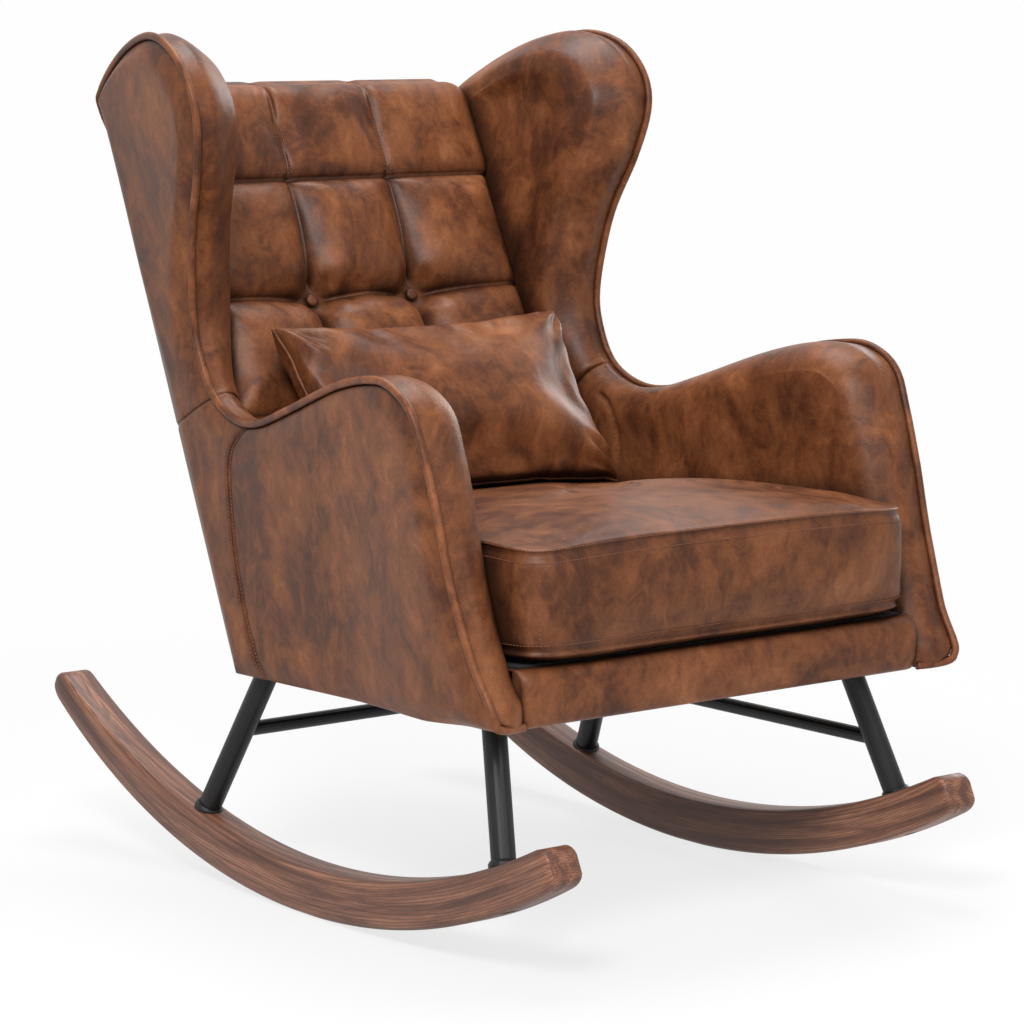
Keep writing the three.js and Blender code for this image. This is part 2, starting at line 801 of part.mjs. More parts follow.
const sideRailFront = frontRailRear + seatGap;
const rearRailHalf = railOuterX(rearRailRear) - railThickness - layerGap;
const rearRailCorners = mirroredCorners([[rearRailHalf, rearRailFront], [rearRailHalf, rearRailRear]]);
add("rear_rail", baseSolid(rearRailCorners, railLift, railTop), "plywood");

for (const side of sides) {
  const outerFront = railOuterX(sideRailFront);
  const outerRear = railOuterX(rearRailRear);
  const rail = [
    [outerFront, sideRailFront], [outerRear, rearRailRear],
    [outerRear - railThickness, rearRailRear], [outerFront - railThickness, sideRailFront],
  ].map(([x, y]) => [side.sign * x, y]);
  add(`side_rail_${side.name}`, baseSolid(rail, railLift, railTop), "plywood");
  for (const [name, y, turn] of [["front", sideRailFront, 1], ["rear", rearRailFront - seatGap, -1]]) {
    const x = railOuterX(y) - railThickness - layerGap;
    const far = x - Math.abs(railOuterX(y + turn * blockReach) - railOuterX(y));
    const corners = [[x, y], [x - blockReach, y], [far, y + turn * blockReach]];
    const block = corners.map(([a, b]) => [side.sign * a, b]);
    const solidBlock = baseSolid(block, railLift, railLift + blockHeight);
    add(`corner_block_${name}_${side.name}`, solidBlock, "plywood");
  }
}

for (let i = 0; i < strapCount; i += 1) {
  const span = rearRailFront - frontRailRear - strapWidth;
  const y = frontRailRear + span * (i + 0.5) / strapCount;
  const half = railOuterX(y + strapWidth) - seatGap;
  const corners = mirroredCorners([[half, y], [half, y + strapWidth]]);
  const strap = baseSolid(corners, railTop + seatGap, railTop + seatGap + strapThickness);
  add(`seat_strap_${i + 1}`, strap, "webbing");
}

const deckHeight = railTop + strapThickness + seatGap * 2;
const deckCorners = mirroredCorners([
  [frontRailHalf - layerGap, frontRailFront], [frontRailHalf - layerGap, frontRailRear],
  [railOuterX(rearRailRear) - layerGap, rearRailRear],
]);
add("seat_deck", baseSolid(deckCorners, deckHeight, deckHeight + deckThickness), "cloth");

const plateReach = plateLength / 2 + plateInset + seatGap;
const dustHalf = legTopSpacing / 2 - plateReach;
const dustTop = railLift - seatGap;
const dustCorners = mirroredCorners([
  [dustHalf, frontRailFront], [dustHalf, frontLegTopY + plateReach + plateInset],
  [frontRailHalf - railThickness, frontLegTopY + plateReach + plateInset],
  [rearRailHalf + railThickness / 2, rearLegTopY - plateReach - plateInset],
  [dustHalf, rearLegTopY - plateReach - plateInset], [dustHalf, rearRailRear],
]);
add("dust_cover", baseSolid(dustCorners, dustTop - dustThickness, dustTop), "cloth");

// Front apron, rounded along its two front edges
const apronSection = new THREE.Shape();
const apronTop = railTop + seatGap + apronLipThickness;
apronSection.moveTo(apronThickness, layerGap);
apronSection.lineTo(apronThickness, railTop + seatGap);
apronSection.lineTo(apronThickness + apronLip, railTop + seatGap);
apronSection.lineTo(apronThickness + apronLip, apronTop);
apronSection.lineTo(apronRound, apronTop);
apronSection.quadraticCurveTo(0, apronTop, 0, apronTop - apronRound);
apronSection.lineTo(0, apronRound + layerGap);
apronSection.quadraticCurveTo(0, layerGap, apronRound, layerGap);
const apronOutline = apronSection.getPoints(6);
if (apronOutline[0].distanceTo(apronOutline[apronOutline.length - 1]) < seatGap) apronOutline.pop();
const apronHalf = armInnerX(apronFrontY + apronThickness + apronLip) - layerGap;
const apronSections = [-apronHalf, apronHalf].map((x) =>
  apronOutline.map((p) => onBase(x, apronFrontY + p.x, p.y)));
add("front_apron", loft(apronSections, apronOutline), "leather");

// Back panel and back frame: flat boards on the leaning rear plane, narrower between the wings
const backTopZ = sideBaseZ + sideHeight * backTopShare;
const backBottomZ = sideBaseZ + backBottomHeight;
const backTopFaceY = rearY(backTopZ) - backTopThickness;
const backFootFaceY = rearY(backBottomZ) - backFootThickness;
const backLean = Math.atan((backTopFaceY - backFootFaceY) / (backTopZ - backBottomZ));
const shoulderZ = rearTop.y - padRearInset;
const neckHalf = rearHalfWidth - wingThickness - layerGap * 2;

function rearBoard(halfWidth, lowZ, topZ, from, to) {
  const neckZ = shoulderZ + (halfWidth - neckHalf) * shoulderDropShare;
  const outline = [
    [-halfWidth, lowZ], [halfWidth, lowZ], [halfWidth, shoulderZ], [neckHalf, neckZ],
    [neckHalf, topZ], [-neckHalf, topZ], [-neckHalf, neckZ], [-halfWidth, shoulderZ],
  ];
  const flat = outline.map(([x, z]) => new THREE.Vector2(x, z));
  const sections = [from, to].map((depth) =>
    outline.map(([x, z]) => new THREE.Vector3(x, rearY(z) - depth, z)));
  return loft(sections, flat);
}

const panelHalf = rearHalfWidth - coverThickness - layerGap;
const panel = rearBoard(panelHalf, sideBaseZ, backTopZ - seatGap, 0, backPanelThickness);
add("back_outer_panel", panel, "leather");
const frameHalf = rearHalfWidth - railDepth - layerGap;
const frameFrom = backPanelThickness + seatGap;
const frameLowZ = sideBaseZ + railLift + plateThickness;
const frameTopZ = backTopZ - backLedge;
const frameTo = frameFrom + backFrameThickness;
add("back_frame", rearBoard(frameHalf, frameLowZ, frameTopZ, frameFrom, frameTo), "plywood");

// Tufted back cushion: three columns, a plain headrest row and tufted rows below
const backDown = new THREE.Vector3(0, -Math.sin(backLean), -Math.cos(backLean));
const backOut = new THREE.Vector3(0, -Math.cos(backLean), Math.sin(backLean));
const backLength = (backTopZ - backBottomZ) / Math.cos(backLean);
const rowLines = [0, headrestHeight];
for (let i = 1; i < rowCount; i += 1) rowLines.push(headrestHeight + rowHeight * i);
rowLines.push(backLength);
const cellShares = [0, 0.085, 0.2, 0.35, 0.5, 0.65, 0.8, 0.915];

function tuftPoints() {
  const points = [];
  for (let row = 2; row < rowLines.length - 1; row += 1) {
    for (const sign of [-1, 1]) points.push({ x: sign * columnWidth / 2, w: rowLines[row] });
  }
  return points;
}

function backHeight(u, row, v, x, w) {
  const across = Math.max(0, Math.sin(Math.PI * u)) ** puffPower;
  const down = Math.max(0, Math.sin(Math.PI * v)) ** puffPower;
  if (row === 0) {
    const puff = headrestPuff * down * lerp(headrestSeamShare, 1, across);
    return puff - seamGroove * (1 - down) * headrestGrooveShare;
  }
  let height = -seamGroove + (seamGroove + puffHeight) * across * down;
  for (const tuft of tuftPoints()) {
    const reach = (Math.hypot(x - tuft.x, w - tuft.w) - tuftFlat * Math.SQRT2) / tuftReach;
    height = lerp(-tuftDepth, height, smooth(reach));
  }
  return height;
}

function backPoint(column, u, row, v) {
  const w = lerp(rowLines[row], rowLines[row + 1], v);
  const spot = new THREE.Vector3(0, backTopFaceY, backTopZ).addScaledVector(backDown, w);
  const edges = [-backFaceHalf, -columnWidth / 2, columnWidth / 2, backFaceHalf];
  const x = lerp(edges[column], edges[column + 1], u);
  spot.addScaledVector(backOut, backHeight(u, row, v, x, w));
  spot.x = x;
  return spot;
}

function backSection(column, u) {
  const points = [];
  for (let row = 0; row + 1 < rowLines.length; row += 1) {
    for (const v of cellShares) points.push(backPoint(column, u, row, v));
  }
  points.push(backPoint(column, u, rowLines.length - 2, 1));
  const head = points[0];
  const foot = points[points.length - 1];
  const x = foot.x * neckHalf / backFaceHalf;
  const ledgeZ = frameTopZ + seatGap;
  const overFrame = backPanelThickness + seatGap;
  points.push(new THREE.Vector3(x, rearY(foot.z) - padRearInset, foot.z));
  points.push(new THREE.Vector3(x, rearY(ledgeZ) - padRearInset, ledgeZ));
  points.push(new THREE.Vector3(x, rearY(ledgeZ) - overFrame, ledgeZ));
  points.push(new THREE.Vector3(x, rearY(head.z) - overFrame, head.z));
  return points;
}

const backSections = [];
for (let column = 0; column < 3; column += 1) {
  for (const u of cellShares) backSections.push(backSection(column, u));
}
backSections.push(backSection(2, 1));
const backOutline = backSections[0].map((p) => new THREE.Vector2(p.y, p.z));
add("back_cushion", loft(backSections, backOutline), "leather");

const buttonProfile = buttonShares.map(([r, h]) => [r * buttonRadius, h * buttonHeight]);
tuftPoints().forEach((tuft, i) => {
  const seat = new THREE.Vector3(tuft.x, backTopFaceY, backTopZ).addScaledVector(backDown, tuft.w);
  seat.addScaledVector(backOut, seatGap - tuftDepth);
  add(`tuft_button_${i + 1}`, turnedAlong(seat, backOut, buttonProfile, legSides / 2), "leather");
});

// Loose seat cushion: boxed, crowned on top, its sides drawn in along the seams
const cushionLift = deckHeight + deckThickness + seatGap;

function roundedLoop(count, power) {
  const loop = [];
  for (let i = 0; i < count; i += 1) {
    const angle = i / count * Math.PI * 2;
    const c = Math.cos(angle);
    const s = Math.sin(angle);
    loop.push([Math.sign(c) * Math.abs(c) ** power, Math.sign(s) * Math.abs(s) ** power]);
  }
  return loop;
}

const cushionLoop = roundedLoop(cushionSteps, cushionLoopPower);
const cushionCentreY = (cushionFrontY + cushionRearY) / 2;
const cushionHalfDepth = (cushionRearY - cushionFrontY) / 2;

function cushionRing([insetShare, liftShare, boxShare, crownShare, bulgeShare]) {
  const inset = cushionCorner * insetShare;
  const boxing = (cushionBoxing - cushionSeamLift) * boxShare;
  const height = cushionSeamLift * liftShare + boxing + cushionCrown * crownShare;
  return cushionLoop.map(([a, b]) => {
    const drawn = inset + cushionDrawIn * (1 - a * a * b * b) * (1 - bulgeShare);
    let y = cushionCentreY + b * (cushionHalfDepth - drawn);
    if (b < 0) y -= cushionBulge * bulgeShare * b * b * Math.sqrt(Math.max(0, 1 - a * a));
    if (b > 0) y += b * height * Math.tan(backLean) * cushionRearLeanShare;
    const half = armInnerX(Math.max(y, cushionFrontY)) - layerGap;
    const heightPart = Math.max(0, height - cushionSeamLift) / (cushionBoxing - cushionSeamLift);
    const drop = cushionRearDrop * smooth((y - cushionRearDropStart) / cushionRearDropRun);
    const corner = lerp(-cushionSeamRise, cushionCornerDrop, a ** 4 * b ** 4);
    const lift = height - heightPart * (drop + corner);
    return onBase(a * (half - drawn), y, lift + cushionLift);
  });
}

const cushionRings = cushionRingShares.map(cushionRing);
const cushionOutline = cushionLoop.map(([a, b]) => new THREE.Vector2(a, b));
add("seat_cushion", loft(cushionRings, cushionOutline), "leather");

// Lumbar pillow: a knife-edge pad with pulled corners that stands on the seat and leans back
const pillowLoop = roundedLoop(cushionSteps, pillowLoopPower);
const pillowLean = THREE.MathUtils.degToRad(pillowLeanDegrees);
const pillowUp = new THREE.Vector3(0, Math.sin(pillowLean), Math.cos(pillowLean));
const pillowFront = new THREE.Vector3(0, -Math.cos(pillowLean), Math.sin(pillowLean));

function pillowRing([scale, thick]) {
  return pillowLoop.map(([a, b]) => {
    const acrossHalf = pillowWidth / 2 - pillowDrawIn * (1 - b * b) * scale;
    const upHalf = pillowHeight / 2 - pillowDrawIn * (1 - a * a) * scale;
    const point = new THREE.Vector3(a * acrossHalf * scale, pillowCentreY, pillowCentreZ);
    point.addScaledVector(pillowUp, b * upHalf * scale);
    return point.addScaledVector(pillowFront, thick * pillowThickness / 2);
  });
}

const pillowRings = [
  ...pillowShares.map(([scale, thick]) => [scale, -thick]),
  ...[...pillowShares].reverse(),
];
const pillowOutline = pillowLoop.map(([a, b]) => new THREE.Vector2(a, b));
add("lumbar_pillow", loft(pillowRings.map(pillowRing), pillowOutline), "leather");

export default chair;
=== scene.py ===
"""The looks of a wingback rocking armchair on walnut rockers.

Lengths are in millimetres until a mesh is made. +Z up, the sitter looks along -Y, left is +X.
"""

import json
import math

import bmesh
import bpy
import numpy as np
from mathutils import Matrix, Vector


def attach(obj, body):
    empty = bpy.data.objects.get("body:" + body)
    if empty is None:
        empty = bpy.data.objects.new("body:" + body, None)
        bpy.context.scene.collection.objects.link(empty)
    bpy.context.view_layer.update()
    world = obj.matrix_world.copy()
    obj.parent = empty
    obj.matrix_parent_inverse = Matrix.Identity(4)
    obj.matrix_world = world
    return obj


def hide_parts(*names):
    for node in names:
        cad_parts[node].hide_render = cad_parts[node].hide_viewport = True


MM = 0.001

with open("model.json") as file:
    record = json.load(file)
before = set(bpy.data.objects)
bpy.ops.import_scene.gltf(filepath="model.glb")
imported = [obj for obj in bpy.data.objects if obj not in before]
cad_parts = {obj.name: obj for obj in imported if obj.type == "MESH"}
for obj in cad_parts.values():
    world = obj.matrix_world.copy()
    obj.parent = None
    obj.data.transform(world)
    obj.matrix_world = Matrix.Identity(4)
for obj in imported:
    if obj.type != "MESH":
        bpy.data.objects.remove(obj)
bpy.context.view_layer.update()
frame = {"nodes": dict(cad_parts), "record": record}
nodes = frame["nodes"]


# Camera, at the photograph's angle
AZIMUTH, ELEVATION = -0.667377492, 0.139632295
CAMERA_PLACE = Vector((-2.67155, -3.42487, 1.05161))
FOCAL_PIXELS, IMAGE_PIXELS, SENSOR = 3615.09843, 1024, 36


def make_camera():
    back = Vector((
        math.sin(AZIMUTH) * math.cos(ELEVATION),
        -math.cos(AZIMUTH) * math.cos(ELEVATION),
        math.sin(ELEVATION),
    ))
    right = Vector((math.cos(AZIMUTH), math.sin(AZIMUTH), 0))
    up = back.cross(right)
    data = bpy.data.cameras.new("camera")
    data.sensor_width = SENSOR
    data.lens = FOCAL_PIXELS * SENSOR / IMAGE_PIXELS
    camera = bpy.data.objects.new("camera", data)
    turn = Matrix((right, up, back)).transposed().to_4x4()
    camera.matrix_world = Matrix.Translation(CAMERA_PLACE) @ turn
    bpy.context.scene.collection.objects.link(camera)
    bpy.context.scene.camera = camera


make_camera()

# The chair's body, with the same sizes as the solids
SIDE_FRONT_Y, SIDE_DEPTH = -439.5, 854.0
SIDE_BASE_Z, SIDE_HEIGHT = 258.0, 755.0
BASE_RISE = 17.0
REAR_BASE_Y = 123.7
REAR_HALF = 300.0
REAR_TOP_Z = SIDE_BASE_Z + 0.8834 * SIDE_HEIGHT
REAR_SLOPE = (SIDE_FRONT_Y + 0.991 * SIDE_DEPTH - REAR_BASE_Y) / (REAR_TOP_Z - SIDE_BASE_Z)
FLARE_BASE, FLARE_RISE = 0.044, 0.1434
CORNER_CUT = 20.0
FOOT_ROUND = 26.0
COVER, COVER_INSET = 8.0, 2.0
SHELL_FROM, SHELL, SHELL_INSET = 9.3, 12.0, 26.0
LAYER, SEAT_GAP, WADDING = 0.5, 0.3, 1.3
ARM_INNER_FRONT, ARM_INNER_TAPER = 290.0, 28.0
WING, WING_SEAM = 62.0, 55.0
ROLL_INSET, ROLL_PROUD = 38.0, 4.0
PIPING = 4.7
APRON_FRONT_Y = -432.0
RAIL_LIFT, RAIL_TOP = 3.0, 63.0
DECK_RISE = RAIL_TOP + 4 + 3 * SEAT_GAP
PAD_REAR_INSET = 18.9

ARM_OUTLINE = [
    (0.004, 0.031), (0.0015, 0.058), (0.0335, 0.1206), (0.0695, 0.2278), (0.0954, 0.3338),
    (0.1195, 0.4159), (0.144, 0.4755), (0.1874, 0.506), (0.2401, 0.5099), (0.3337, 0.4901),
    (0.4742, 0.4384), (0.5621, 0.4093), (0.6265, 0.4093), (0.6851, 0.4411),
]
WING_OUTLINE = [
    (0.719, 0.502), (0.7307, 0.5722), (0.7131, 0.694), (0.6745, 0.7974), (0.6581, 0.8768),
    (0.6733, 0.9338), (0.7178, 0.9801), (0.7822, 1), (0.8548, 0.9868), (0.925, 0.955),
    (0.9754, 0.9192), (0.9945, 0.896),
]
ARM_BASE = [0, 0.05, 0.13, 0.25, 0.38, 0.46, 0.54, 0.62, 0.7, 0.82, 1]
ARM_REAR = [0.153, 0.292, 0.43]
WING_REAR = [0.513, 0.588, 0.685, 0.775, 0.843, 0.888, 0.921, 0.946, 0.963, 0.979, 0.991, 1]
PAD_DECK = np.array([0, 0.05, 0.13, 0.22, 0.31, 0.4, 0.49, 0.58, 0.71, 0.9])
PAD_REAR = [0.215, 0.32, 0.43]
ARM_SPANS = len(ARM_OUTLINE) - 1
SPANS = len(ARM_OUTLINE) + len(WING_OUTLINE) - 1
SIDES = (("right", -1), ("left", 1))
ACROSS = np.array([1.0, 0, 0])


def lerp(a, b, share):
    return a + (b - a) * share


def smooth(share):
    s = np.clip(share, 0, 1)
    return s * s * (3 - 2 * s)


def unit(vector):
    return vector / np.linalg.norm(vector)


def bell(distance, width):
    return np.exp(-(distance / width) ** 2)


def rounded(distance, width, depth):
    """How far a padded face falls away near its edge."""
    return depth * (1 - np.sqrt(1 - (1 - np.clip(distance / width, 0, 1)) ** 2))


def base_z(y):
    return SIDE_BASE_Z + BASE_RISE * (REAR_BASE_Y - y) / (REAR_BASE_Y - SIDE_FRONT_Y)


def rear_y(z):
    return REAR_BASE_Y + (z - SIDE_BASE_Z) * REAR_SLOPE


def flare_x(y, z):
    flare = FLARE_BASE + FLARE_RISE * (z - SIDE_BASE_Z) / SIDE_HEIGHT
    return REAR_HALF + flare * (rear_y(z) - y)


def outer_x(y, z):
    """The side's outer face: flared, swollen low on the arm's front, rounded in at its foot."""
    swell = smooth((-120 - y) / 230) * smooth((640 - z) / 280)
    round_in = rounded(z - base_z(y), FOOT_ROUND, FOOT_ROUND)
    return flare_x(y, z) + 18 * swell - round_in * smooth((SIDE_FRONT_Y + 150 - y) / 90)


def arm_inner_x(y):
    return ARM_INNER_FRONT - ARM_INNER_TAPER * (y - APRON_FRONT_Y) / (REAR_BASE_Y - APRON_FRONT_Y)


def arm_depth(y, z):
    return outer_x(y, z) - arm_inner_x(y)


def wing_depth(y, z):
    return lerp(WING_SEAM, WING, smooth(((z - SIDE_BASE_Z) / SIDE_HEIGHT - 0.42) / 0.2))


OUTLINE = np.array([
    (SIDE_FRONT_Y + d * SIDE_DEPTH, SIDE_BASE_Z + h * SIDE_HEIGHT)
    for d, h in ARM_OUTLINE + WING_OUTLINE
])


def spline(p, t):
    """Point and slope of a smooth curve between the middle two of four points."""
    v0, v1 = (p[2] - p[0]) * 0.5, (p[3] - p[1]) * 0.5
    a = 2 * (p[1] - p[2]) + v0 + v1
    b = -3 * (p[1] - p[2]) - 2 * v0 - v1
    return a * t ** 3 + b * t ** 2 + v0 * t + p[1], 3 * a * t ** 2 + 2 * b * t + v0


def outline_at(at):
    """Point and unit tangent of the side outline, at a number of spans along it."""
    i = int(min(SPANS - 1, max(0, math.floor(at))))
    point, slope = spline([OUTLINE[min(SPANS, max(0, i + k))] for k in (-1, 0, 1, 2)], at - i)
    return point, unit(slope)


REAR_FOOT = np.array([REAR_BASE_Y, SIDE_BASE_Z])
REAR_TOP = np.array([rear_y(REAR_TOP_Z), REAR_TOP_Z])
FRONT_FOOT = np.array([SIDE_FRONT_Y + CORNER_CUT, base_z(SIDE_FRONT_Y + CORNER_CUT)])


def pad_rear(share):
    return lerp(REAR_FOOT, REAR_TOP, share) - np.array([PAD_REAR_INSET, 0])


COVER_ENDS = (
    [lerp(FRONT_FOOT, REAR_FOOT, s) for s in ARM_BASE]
    + [lerp(REAR_FOOT, REAR_TOP, s) for s in ARM_REAR + WING_REAR]
)
PAD_FRONT = SIDE_FRONT_Y + 50
PAD_DECK_REAR = pad_rear(0.1505)[0]
PAD_ENDS = (
    [np.array([PAD_FRONT - 6, base_z(PAD_FRONT) + RAIL_LIFT])]
    + [np.array([y, base_z(y) + DECK_RISE]) for y in lerp(PAD_FRONT, PAD_DECK_REAR, PAD_DECK)]
    + [pad_rear(s) for s in PAD_REAR + WING_REAR]
)


def cross_line(ends, at):
    """A line across the side: its start on the outline, its end, and the way it sets out."""
    edge, tangent = outline_at(at)
    i = int(min(len(ends) - 2, max(0, math.floor(at))))
    end = lerp(ends[i], ends[i + 1], at - i)
    square = np.array([tangent[1], -tangent[0]])
    return edge, end, unit(lerp(unit(end - edge), square, smooth(at / 3.6)))


def place_on_side(sign, point, depth, face=outer_x):
    return (sign * (face(*point) - depth), *point)


# Materials
class Nodes:
    """A short way to build a node tree."""

    def __init__(self, owner):
        owner.use_nodes = True
        self.tree = owner.node_tree
        self.tree.nodes.clear()

    def add(self, kind, inputs, **settings):
        """A node with its inputs set to values or linked from outputs."""
        node = self.tree.nodes.new("ShaderNode" + kind)
        for name, value in settings.items():
            setattr(node, name, value)
        for name, value in inputs.items():
            self.fill(node.inputs[name], value)
        return node

    def fill(self, socket, value):
        if isinstance(value, (int, float, tuple)):
            socket.default_value = value
        else:
            self.tree.links.new(value, socket)

    def math(self, kind, a, b=0.0):
        return self.add("Math", {0: a, 1: b}, operation=kind).outputs[0]

    def reach(self, factor, low, high, out_low=0.0, out_high=1.0):
        inputs = dict(enumerate((factor, low, high, out_low, out_high)))
        return self.add("MapRange", inputs).outputs[0]

    def seen_share(self, most=1.0):
        """How far camera, glossy and transmission rays see plain white, not the lit surface."""
        rays = self.add("LightPath", {}).outputs
        seen = self.math("MAXIMUM", rays["Is Camera Ray"], rays["Is Glossy Ray"])
        seen = self.math("MAXIMUM", seen, rays["Is Transmission Ray"])
        return self.math("MULTIPLY", seen, most)


class Surface(Nodes):
    """A material's node tree, with textures placed on the object."""

    def __init__(self, name):
        self.material = bpy.data.materials.new(name)
        super().__init__(self.material)
        self.shader = self.add("BsdfPrincipled", {})
        self.output = self.add("OutputMaterial", {0: self.shader.outputs[0]})
        self.place = self.add("TexCoord", {}).outputs["Object"]

    def mapped(self, scale, turn=(0, 0, 0)):
        inputs = {"Vector": self.place, "Scale": scale, "Rotation": turn}
        return self.add("Mapping", inputs).outputs[0]

    def texture(self, kind, vector, **values):
        return self.add("Tex" + kind, {"Vector": vector or self.place, **values})

    def noise(self, scale, detail=4.0, rough=0.55, warp=0.0, vector=None):
        node = self.texture(
            "Noise", vector, Scale=scale, Detail=detail, Roughness=rough, Distortion=warp,
        )
        return node.outputs["Fac"]

    def wave(self, scale, direction, distortion=0.0, vector=None):
        node = self.texture("Wave", vector, Scale=scale, Distortion=distortion)
        node.bands_direction = direction
        return node.outputs["Fac"]

    def ramp(self, factor, *stops):
        node = self.add("ValToRGB", {0: factor})
        elements = node.color_ramp.elements
        while len(elements) < len(stops):
            elements.new(0.5)
        for element, (at, color) in zip(elements, stops):
            element.position, element.color = at, color
        return node.outputs[0]

    def mix(self, factor, a, b, blend="MIX"):
        inputs = {0: factor, 6: a, 7: b}
        return self.add("Mix", inputs, data_type="RGBA", blend_type=blend).outputs[2]

    def bump(self, height, distance, strength=1.0, under=None):
        inputs = {"Distance": distance, "Strength": strength, "Height": height}
        if under is not None:
            inputs["Normal"] = under
        return self.add("Bump", inputs).outputs[0]

    def hollows(self, reach):
        """How open the surface is round a point, from 0 deep in a fold to 1."""
        return self.add("AmbientOcclusion", {"Distance": reach}, samples=6).outputs["AO"]

    def set(self, **values):
        for name, value in values.items():
            self.fill(self.shader.inputs[name.replace("_", " ")], value)
        return self.material


def linear(r, g, b):
    """A colour written as it looks on screen, from 0 to 255."""
    def one(c):
        c /= 255
        return c / 12.92 if c <= 0.04045 else ((c + 0.055) / 1.055) ** 2.4
    return (one(r), one(g), one(b), 1.0)


def leather(name, light=1.0, turn=(0, 0, 0), blotch=1.0):
    """Waxed brown leather: soft darker clouds, rubbed paler spots, fine pores and creases, with
    painted shade in its hollows.
    """
    n = Surface(name)
    stretched = n.mapped((1.0, 1.0, 0.78), turn)
    warp = n.noise(7.0, 3.0, 0.5, vector=stretched)
    shift = n.mix(0.1, stretched, warp, "ADD")
    wide = n.noise(5.5 * blotch, 2.0, 0.5, vector=shift)
    clouds = n.noise(17.0 * blotch, 5.0, 0.58, 0.35, vector=shift)
    patches = n.noise(44.0 * blotch, 4.0, 0.6, 0.6, vector=shift)
    rubbed = n.noise(120.0, 4.0, 0.65, 0.8, vector=stretched)
    blend = n.math("MULTIPLY", wide, 0.2)
    for layer, share in ((clouds, 0.42), (patches, 0.26), (rubbed, 0.12)):
        blend = n.math("ADD", blend, n.math("MULTIPLY", layer, share))

    def tone(*rgb):
        return linear(*(min(255, c * light) for c in rgb))

    color = n.ramp(
        blend, (0.35, tone(57, 31, 19)), (0.44, tone(86, 48, 29)), (0.5, tone(110, 64, 37)),
        (0.56, tone(127, 76, 45)), (0.65, tone(152, 96, 60)),
    )
    speck = n.noise(520.0, 2.0, 0.6)
    color = n.mix(n.reach(speck, 0.3, 0.62, 0.3, 0.0), color, tone(58, 33, 23))
    # Painted shade: the colour goes to a near-black brown where the surface is closed in, in
    # folds, seams and tufts.
    painted_crease_shade = n.reach(n.hollows(0.03), 0.35, 0.9, 0.85, 0.0)
    color = n.mix(painted_crease_shade, color, tone(34, 18, 12))
    pores = n.texture("Voronoi", None, Scale=700.0).outputs["Distance"]
    grain = n.noise(1100.0, 3.0, 0.6)
    creases = n.noise(38.0, 5.0, 0.6, 1.4, vector=shift)
    under = n.bump(n.reach(pores, 0.0, 0.6), 0.0002, 0.5)
    under = n.bump(grain, 0.00016, 0.4, under)
    under = n.bump(creases, 0.0018, 0.26, under)
    rough = n.reach(blend, 0.38, 0.62, 0.36, 0.46)
    return n.set(Base_Color=color, Roughness=rough, Normal=under, Specular_IOR_Level=0.2)


def walnut(name, centre):
    """Walnut whose grain follows the rocker's curve round a centre (y, z), in metres."""
    n = Surface(name)
    x, y, z = n.add("SeparateXYZ", {0: n.place}).outputs
    y, z = n.math("SUBTRACT", y, centre[0]), n.math("SUBTRACT", z, centre[1])
    angle = n.math("MULTIPLY", n.math("ARCTAN2", y, n.math("MULTIPLY", z, -1.0)), centre[1])
    squared = n.math("ADD", n.math("MULTIPLY", y, y), n.math("MULTIPLY", z, z))
    along = n.add("CombineXYZ", {
        0: n.math("MULTIPLY", x, 1.25), 1: n.math("MULTIPLY", angle, 0.05),
        2: n.math("SQRT", squared),
    }).outputs[0]
    bend = n.noise(13.0, 3.0, 0.5, vector=along)
    wide = n.mix(0.05, along, bend, "ADD")
    figure = n.noise(75.0, 7.0, 0.66, 0.5, vector=wide)
    lines = n.wave(105.0, "Z", 4.2, vector=wide)
    fibres = n.noise(700.0, 3.0, 0.6, vector=along)
    color = n.ramp(
        figure, (0.34, linear(70, 41, 29)), (0.45, linear(108, 67, 49)),
        (0.54, linear(140, 91, 67)), (0.66, linear(172, 119, 90)),
    )
    color = n.mix(n.reach(lines, 0.6, 0.92, 0.0, 0.7), color, linear(78, 49, 38))
    color = n.mix(n.reach(fibres, 0.36, 0.62, 0.42, 0.0), color, linear(74, 46, 35))
    under = n.bump(fibres, 0.0003, 0.5)
    return n.set(Base_Color=color, Roughness=n.reach(figure, 0.3, 0.7, 0.52, 0.42), Normal=under)


def metal(name, dark, pale, tones, peel, rough, **more):
    """Metal with a mist of tones and a fine peel, given as noises."""
    n = Surface(name)
    mist = n.noise(*tones)
    return n.set(
        Base_Color=n.ramp(mist, (0.3, linear(*dark)), (0.7, linear(*pale))),
        Roughness=n.reach(mist, 0.3, 0.7, *rough), Normal=n.bump(n.noise(*peel), 0.0001, 0.3),
        **more,
    )


def plywood():
    n = Surface("plywood")
    along = n.mapped((1.0, 0.12, 1.0))
    figure = n.noise(30.0, 5.0, 0.6, 0.6, vector=along)
    fibres = n.noise(300.0, 3.0, 0.6, vector=along)
    color = n.ramp(figure, (0.3, linear(176, 140, 96)), (0.7, linear(212, 182, 138)))
    color = n.mix(n.reach(fibres, 0.35, 0.65, 0.25, 0.0), color, linear(140, 104, 66))
    return n.set(Base_Color=color, Roughness=0.7, Normal=n.bump(fibres, 0.0003, 0.4))


def woven(name, dark, pale, scale, rough=0.9):
    """Plain weave: two crossed wave bands."""
    n = Surface(name)
    weave = n.math("MULTIPLY", n.wave(scale, "X"), n.wave(scale, "Y"))
    dust = n.noise(60.0, 4.0, 0.6)
    color = n.mix(weave, linear(*dark), linear(*pale))
    color = n.mix(n.reach(dust, 0.4, 0.7, 0.0, 0.25), color, linear(*dark))
    return n.set(Base_Color=color, Roughness=rough, Normal=n.bump(weave, 0.0005, 0.6))


def thread():
    n = Surface("thread")
    twist = n.wave(900.0, "DIAGONAL")
    color = n.ramp(twist, (0.2, linear(92, 50, 31)), (0.8, linear(140, 84, 52)))
    return n.set(Base_Color=color, Roughness=0.6, Normal=n.bump(twist, 0.0002, 0.4))


